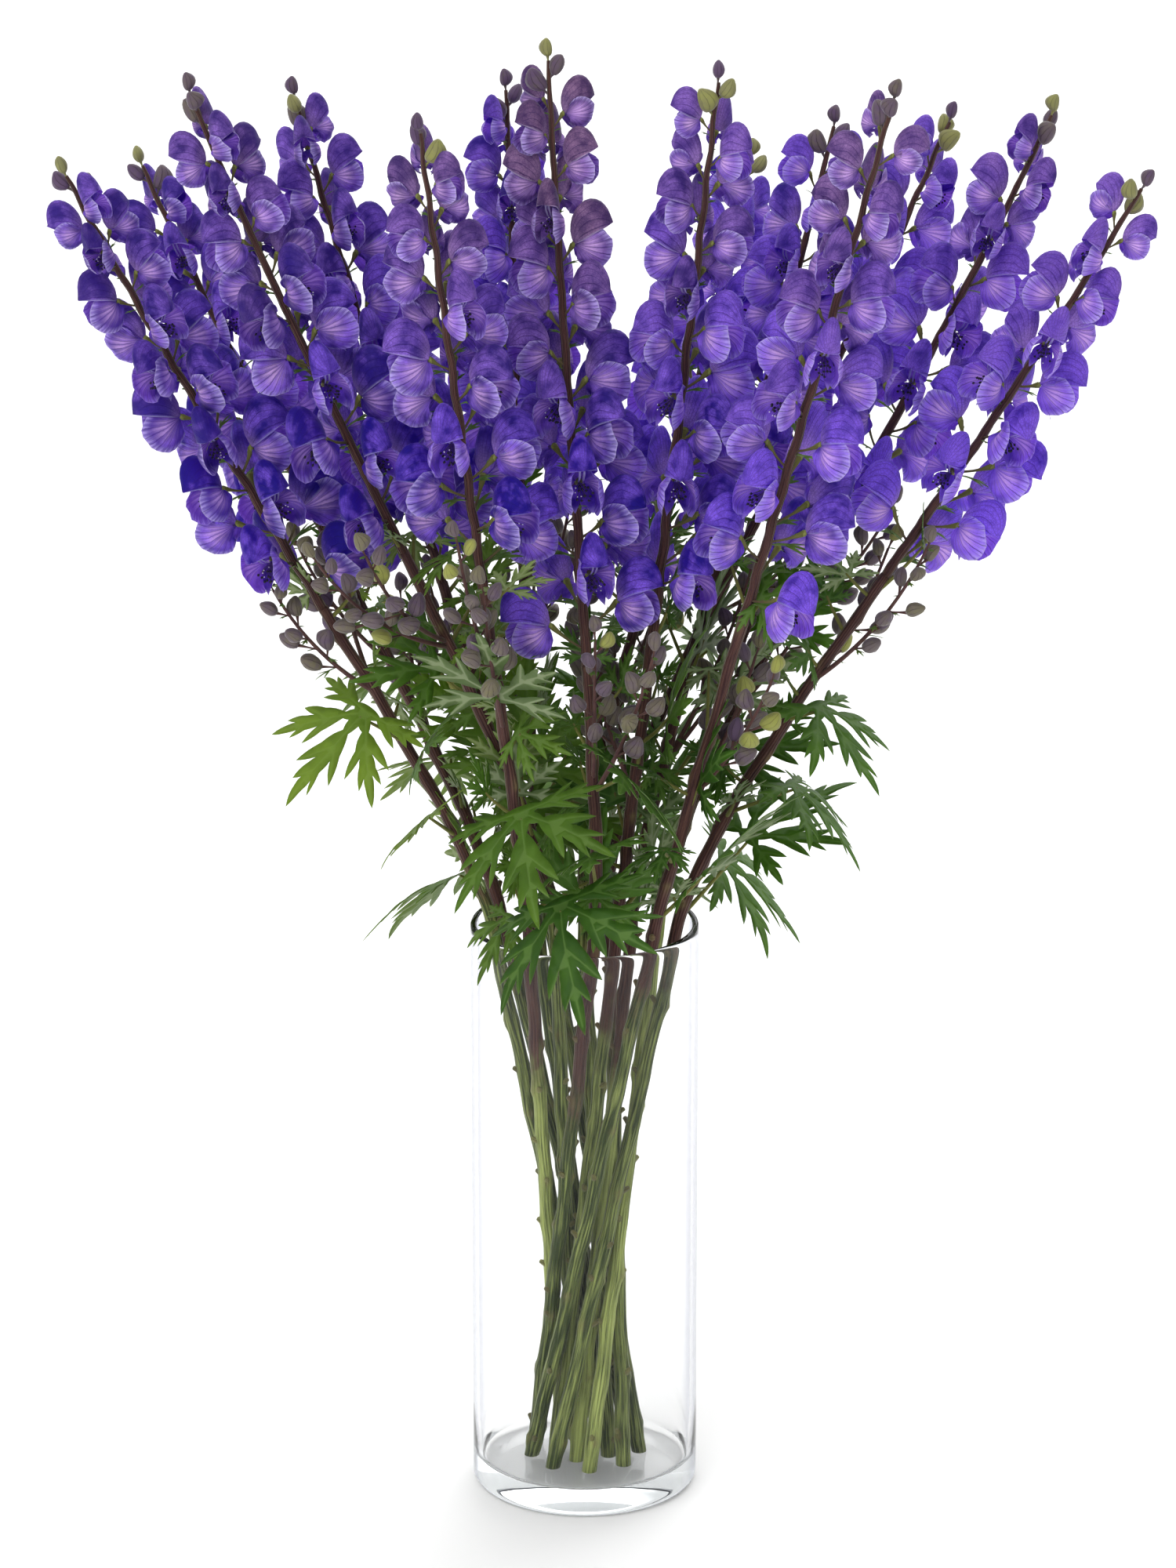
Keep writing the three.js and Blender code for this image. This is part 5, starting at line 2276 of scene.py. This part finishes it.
    def leaf(self, item: Item, seed: int) -> Shape:
        """Return a leaf's blade as a thin closed shell, drooping and folded along its veins.

        Args:
            item: The leaf.
            seed: The number that its draws start from.

        Returns:
            A leaf's blade as a thin closed shell, drooping and folded along its veins.
        """
        where, faces, off_vein, count = self.blades[seed % self.kinds]
        reach = np.linalg.norm(where, axis=1)
        bearing = np.degrees(np.arctan2(where[:, 1], where[:, 0]))
        curl = draw(seed, 41, -0.0008, 0.0022)
        height = -(self.layout.LEAF_DROOP + curl) * reach**2
        height = height + 0.16 * np.minimum(off_vein, 5)
        ripple = np.sin(reach * 0.11 + seed) * np.sin(np.radians(bearing) * 2.5 + seed)
        height = height + ripple * reach * 0.035
        half = self.thick / 2 / item.place.scale
        taper = np.clip(off_vein, 0.4, 1.0)
        rows = len(where)
        top = np.column_stack([where, height + half * taper])
        bottom = np.column_stack([where, height - half * taper])
        grain_top = np.column_stack([off_vein * item.place.scale, reach / 62, np.ones(rows)])
        grain_bottom = np.column_stack([off_vein * item.place.scale, reach / 62, np.zeros(rows)])
        ring = np.arange(count)
        after = (ring + 1) % count
        wall = np.stack([ring, ring + rows, after + rows, after], axis=1)
        blocks = [faces, faces[:, ::-1] + rows, wall]
        shape = Shape(np.vstack([top, bottom]), blocks, np.vstack([grain_top, grain_bottom]))
        return shape.put(item.place)

    def petiole(self, item: Item) -> Shape:
        """Return the leaf's stalk, from the stem to the blade.

        Args:
            item: The leaf.

        Returns:
            The leaf's stalk, from the stem to the blade.
        """
        start = item.root
        into = item.place.origin + item.place.axes[0] * 4 * item.place.scale
        middle = item.root + (item.place.origin - item.root) * 0.6 - UP * 1.5
        return tube(bent(start, middle, into, 9), np.linspace(1.25, 0.7, 9), 6)


class LeafyStem:
    """The stalk below a raceme, with its leaves and its side spray."""

    SIDES = 12
    STEP = 4
    SCAR_PITCH = 30
    STUB_TOP = 330
    PURPLE_FROM = (150, 300)
    PURPLE_OVER = 120
    bud_form = BudForm()
    bract_form = BractForm()

    def __init__(self, layout: Layout, stem: int, leaf_form: LeafForm) -> None:
        """Note which stem this is.

        Args:
            layout: Where everything is.
            stem: The stem's number.
            leaf_form: Makes the leaf blades.
        """
        self.layout = layout
        self.stem = stem
        self.label = f"{stem + 1:02d}"
        self.path = layout.paths[stem]
        self.leaf_form = leaf_form

    def stalk(self) -> Shape:
        """Return the stalk, with leaf scars that stand out along it.

        Returns:
            The stalk, with leaf scars that stand out along it.
        """
        top = STEMS[self.stem].raceme + VASE.seat_gap
        drops = np.arange(self.path.length, top, -self.STEP)
        drops[-1] = top
        centres = np.array([self._on_stalk(drop) for drop in drops])
        radii = np.array([self.path.thickness(drop) for drop in drops])
        shape = tube(centres, radii, self.SIDES, round_ends=False)
        count = len(drops) * self.SIDES
        ring = np.repeat(np.arange(len(drops)), self.SIDES)
        turn = np.tile(2 * np.pi * np.arange(self.SIDES) / self.SIDES, len(drops))
        along = self.path.length - drops[ring]
        swell = np.zeros(count)
        scar = np.zeros(count)
        spots = int(self.path.length / self.SCAR_PITCH)
        for k in range(spots):
            mark = (k + draw(self.stem, 60 + k, 0.2, 0.8)) * self.SCAR_PITCH
            facing = math.radians(k * GOLDEN_ANGLE + self.stem * 40)
            off = np.abs((turn - facing + np.pi) % (2 * np.pi) - np.pi)
            hump = np.exp(-((along - mark) / 3.6)**2) * np.exp(-(off / 0.6)**2)
            swell += hump * 0.34 + 0.09 * np.exp(-((along - mark) / 6.0)**2)
            scar = np.maximum(scar, hump)
        axis = centres[ring]
        shape.points[:count] = axis + (shape.points[:count] - axis) * (1 + swell)[:, None]
        shape.grain[:count, 2] = scar
        shape.grain[count, 2] = 2
        shape.points[:self.SIDES, 2] = VASE.floor + VASE.seat_gap
        shape.points[count, 2] = VASE.floor + VASE.seat_gap
        return Shape.joined([self._ripened(shape), *(self._ripened(stub) for stub in self._stubs())])

    def _on_stalk(self, drop: float) -> Points:
        """Return a point of the stalk's middle line, which sways a little off the stem's path.

        Args:
            drop: The distance down from the tip, in millimetres.

        Returns:
            A point of the stalk's middle line, which sways a little off the stem's path.
        """
        middle = self.path.point(drop)
        out, side = square_to(self.path.heading(max(drop, 3)), self.stem * 70)
        ends = min(1.0, (self.path.length - drop) / 30, (drop - STEMS[self.stem].raceme) / 30)
        sway = 0.45 * math.sin(drop * 0.085 + self.stem) * out + 0.3 * math.sin(drop * 0.13) * side
        return middle + sway * max(0.0, ends)

    def _ripened(self, shape: Shape) -> Shape:
        """Return a shape toned by its height: green low down, purple above the rim.

        Args:
            shape: The shape.

        Returns:
            A shape toned by its height: green low down, purple above the rim.
        """
        heights = shape.points[:, 2]
        purple = np.clip((heights - draw(self.stem, 19, *self.PURPLE_FROM)) / self.PURPLE_OVER, 0, 1)
        values = np.column_stack([purple, np.full(len(heights), scatter(self.stem, 20)), heights * 0])
        return Shape(shape.points, shape.faces, shape.grain, values)

    def _stubs(self) -> Iterator[Shape]:
        """Yield the short stubs of the leaf stalks that were cut off low on the stem.

        Returns:
            The short stubs of the leaf stalks that were cut off low on the stem.
        """
        for k in range(int(self.STUB_TOP / self.SCAR_PITCH)):
            mark = (k + draw(self.stem, 60 + k, 0.2, 0.8)) * self.SCAR_PITCH
            drop = self.path.length - mark
            heading = self.path.heading(drop)
            out, _ = square_to(heading, draw(self.stem, 90 + k, 0, 360))
            thick = self.path.thickness(drop)
            root = self._on_stalk(drop) + out * thick * 0.5
            length = draw(self.stem, 120 + k, 1.6, 3.4)
            aim = unit(out + heading * 0.8)
            line = np.array([root, root + aim * thick * 0.6, root + aim * (thick * 0.7 + length)])
            yield tube(line, np.array([2.2, 1.7, 1.15]), 7, part=1)

    def leaves(self) -> Shape:
        """Return the leaf blades.

        Returns:
            The leaf blades.
        """
        parts = []
        for i, leaf in enumerate(self.layout.leaves[self.stem]):
            seed = self.stem * 5 + i
            left = float(np.clip(-leaf.place.origin[0] / 90, 0, 1))
            yellow = 0.75 * left * scatter(seed, 21) + 0.12 * scatter(seed, 22)
            parts.append(self.leaf_form.leaf(leaf, seed).toned(yellow, scatter(seed, 23), 0))
        return Shape.joined(parts)

    def twigs(self) -> Shape:
        """Return the petioles, the spray's branchlet, its buds' stalks and their bracts.

        Returns:
            The petioles, the spray's branchlet, its buds' stalks and their bracts.
        """
        parts = [self.leaf_form.petiole(leaf).toned(0, 0, 0) for leaf in self.layout.leaves[self.stem]]
        for part in parts:
            part.grain[:, 1] = 0.95
        for number, spray in enumerate(self.layout.sprays[self.stem]):
            parts.extend(self._branchlet(spray, number))
        return Shape.joined(parts)

    def _branchlet(self, spray: Spray, number: int) -> Iterator[Shape]:
        """Yield a spray's branchlet, its buds' stalks and the small bracts under them.

        Args:
            spray: The spray.
            number: The spray's number on its stem.

        Returns:
            A spray's branchlet, its buds' stalks and the small bracts under them.
        """
        line = bent(spray.root, spray.middle, spray.end, 14)
        yield tube(line, np.linspace(1.35, 0.75, 14), 7, part=3).toned(0.5, 0.5, 0)
        for i, bud in enumerate(spray.buds):
            shared = self._onto(bud, spray)
            stalk = self.bud_form.stalk(shared)
            stalk.grain[:, 2] = 3
            yield stalk.toned(0.3, scatter(i, self.stem), 0)
            up = unit(UP + bud.along * 0.2)
            aim = unit(bud.along + UP * 0.2)
            size = (15 if i == number else 9) - 0.6 * i
            yield self.bract_form.shape(shared.root, aim, up, size, 1.7).toned(0, 0.4, 0)

    def _onto(self, bud: Bud, spray: Spray) -> Bud:
        """Return a bud whose stalk starts on the bent branchlet and whose body stays put.

        Args:
            bud: The bud.
            spray: The spray that it grows on.

        Returns:
            A bud whose stalk starts on the bent branchlet and whose body stays put.
        """
        line = bent(spray.root, spray.middle, spray.end, 60)
        foot = line[int(np.argmin(((line - bud.root)**2).sum(axis=1)))]
        neck = bud.root + bud.along * bud.length
        along = unit(neck - foot)
        return Bud(foot, along, math.dist(neck, foot), bud.size)

    def buds(self) -> Shape:
        """Return the closed buds of the sprays.

        Returns:
            The closed buds of the sprays.
        """
        parts = []
        for number, spray in enumerate(self.layout.sprays[self.stem]):
            for i, bud in enumerate(spray.buds):
                seed = self.stem * 11 + i + 300 * number
                ripe = 0.8 if scatter(seed, 25) > 0.88 else 0.2 * scatter(seed, 26)
                body = self.bud_form.body(self._onto(bud, spray), seed)
                parts.append(body.toned(ripe, scatter(seed, 27), 0))
        return Shape.joined(parts)

    def build(self, studio: Studio, finishes: dict[str, bpy.types.Material]) -> None:
        """Make the stem's pieces, which together stand for its one solid.

        Args:
            studio: Makes the objects.
            finishes: The materials by name.
        """
        node = [f"stem_{self.label}"]
        studio.piece(f"stalk_{self.label}", self.stalk(), finishes["stalk"], Slot.FOLIAGE, node)
        studio.piece(f"leaves_{self.label}", self.leaves(), finishes["leaves"], Slot.FOLIAGE, node)
        studio.piece(f"twigs_{self.label}", self.twigs(), finishes["greens"], Slot.FOLIAGE, node)
        studio.piece(f"spray_buds_{self.label}", self.buds(), finishes["buds"], Slot.FOLIAGE, node)


# Floor, light and camera


@dataclass(frozen=True)
class Surroundings:
    """A pale floor, soft light all round, and the camera at the photograph's angle."""

    floor_half: float = 14.0
    floor_colour: Colour = (0.97, 0.97, 0.97)
    level: float = 0.62
    behind: float = 0.34
    above: float = 0.24
    flags: float = 0.6
    back_lamp: tuple[float, float, float] = (0.230, 0.707, 0.669)
    front_lamp: tuple[float, float, float] = (-0.441, -0.653, 0.616)
    lamp_edge: tuple[float, float] = (0.84, 0.93)
    lamp_strength: float = 1.9
    flag_edge: tuple[float, float] = (0.80, 0.96)
    back_turns: tuple[float, float, float] = (48, 0, 162)
    front_turns: tuple[float, float, float] = (52, 0, -34)
    sun_strength: float = 0.12
    sun_soft: float = 50
    camera_place: tuple[float, float, float] = (0.0018, -3.1212, 1.3854)
    camera_pitch: float = 17.68
    lens: float = 144.3

    def floor(self, studio: Studio) -> None:
        """Make the floor.

        Args:
            studio: Makes the objects.
        """
        half = self.floor_half / METRE
        ticks = np.linspace(-half, half, 9)
        x, y = np.meshgrid(ticks, ticks)
        points = np.column_stack([x.ravel(), y.ravel(), np.zeros(x.size)])
        g = Graph(bpy.data.materials.new("pale_floor"))
        cloud = g.noise(g.place(), 3, 2)
        colour = g.blend(self.floor_colour, (0.99, 0.99, 0.99), cloud)
        surface = g.node("ShaderNodeBsdfPrincipled", {}, {"Base Color": colour, "Roughness": 0.8})
        shape = Shape(points, [grid_faces(9, 9)], np.zeros((len(points), 3)))
        studio.mesh_object("floor", shape, g.finish(surface))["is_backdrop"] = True

    def light(self) -> None:
        """Set soft light all round, darker at the sides, with two bright patches and two faint suns."""
        g = Graph(bpy.data.worlds.new("white_room"))
        heading = g.node("ShaderNodeTexCoord", {}, {}, "Generated")
        split = g.node("ShaderNodeSeparateXYZ", {}, {"Vector": heading}).socket.node
        x, y, z = (Signal(g, split.outputs[axis]) for axis in "XYZ")
        level = self.level + y * self.behind + z.within() * self.above
        level = level * (1 - x.size().step(*self.flag_edge) * self.flags)
        for lamp in (self.back_lamp, self.front_lamp):
            inputs = {0: heading, 1: lamp}
            toward = g.node("ShaderNodeVectorMath", {"operation": "DOT_PRODUCT"}, inputs, "Value")
            level = level + toward.step(*self.lamp_edge) * self.lamp_strength
        bpy.context.scene.world = g.room(g.vector(level, level, level))
        self._sun("back_sun", self.back_turns)
        self._sun("front_sun", self.front_turns)

    def _sun(self, name: str, turns: tuple[float, float, float]) -> None:
        """Make a soft sun.

        Args:
            name: Its name.
            turns: Its three turns in degrees; a tilt leans it, and the last turn swings it.
        """
        lamp = bpy.data.lights.new(name, "SUN")
        lamp.energy = self.sun_strength
        lamp.angle = math.radians(self.sun_soft)
        thing = bpy.data.objects.new(name, lamp)
        thing.location = (0, 0, 3)
        thing.rotation_euler = tuple(math.radians(turn) for turn in turns)
        bpy.context.scene.collection.objects.link(thing)

    def camera(self) -> None:
        """Set the camera."""
        data = bpy.data.cameras.new("camera")
        data.lens = self.lens
        data.sensor_width = 36
        data.clip_end = 60
        thing = bpy.data.objects.new("camera", data)
        thing.location = self.camera_place
        thing.rotation_euler = (math.radians(90 - self.camera_pitch), 0, 0)
        bpy.context.scene.collection.objects.link(thing)
        bpy.context.scene.camera = thing

    def build(self, studio: Studio) -> None:
        """Make the floor, the light and the camera.

        Args:
            studio: Makes the objects.
        """
        self.floor(studio)
        self.light()
        self.camera()
        bpy.context.scene.view_settings.view_transform = "Standard"


def write_sizes() -> None:
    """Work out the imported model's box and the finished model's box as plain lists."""
    boxes = {"cad": CAD_BOX, "visual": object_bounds()}
    plain = {name: [[float(value) for value in corner] for corner in box] for name, box in boxes.items()}


def main() -> None:
    """Build the vase, the stems and the racemes, and then the surroundings."""
    logging.basicConfig(level=logging.INFO, format="%(message)s")
    studio = Studio()
    Surroundings().build(studio)
    layout = Layout()
    log.info("laid out %d flowers", sum(len(flowers) for flowers in layout.flowers))
    finishes = {
        "petals": PetalFinish().material(),
        "stamens": StamenFinish().material(),
        "stalk": StalkFinish().material(),
        "greens": GreenFinish().material(),
        "buds": BudFinish().material(),
        "leaves": LeafFinish().material(),
    }
    Vase().build(studio, GlassFinish().material())
    leaf_form = LeafForm(layout)
    for stem in range(len(STEMS)):
        LeafyStem(layout, stem, leaf_form).build(studio, finishes)
        Raceme(layout, stem).build(studio, finishes)
    log.info("made %d pieces", studio.made)
    write_sizes()


if __name__ == "__main__":
    main()
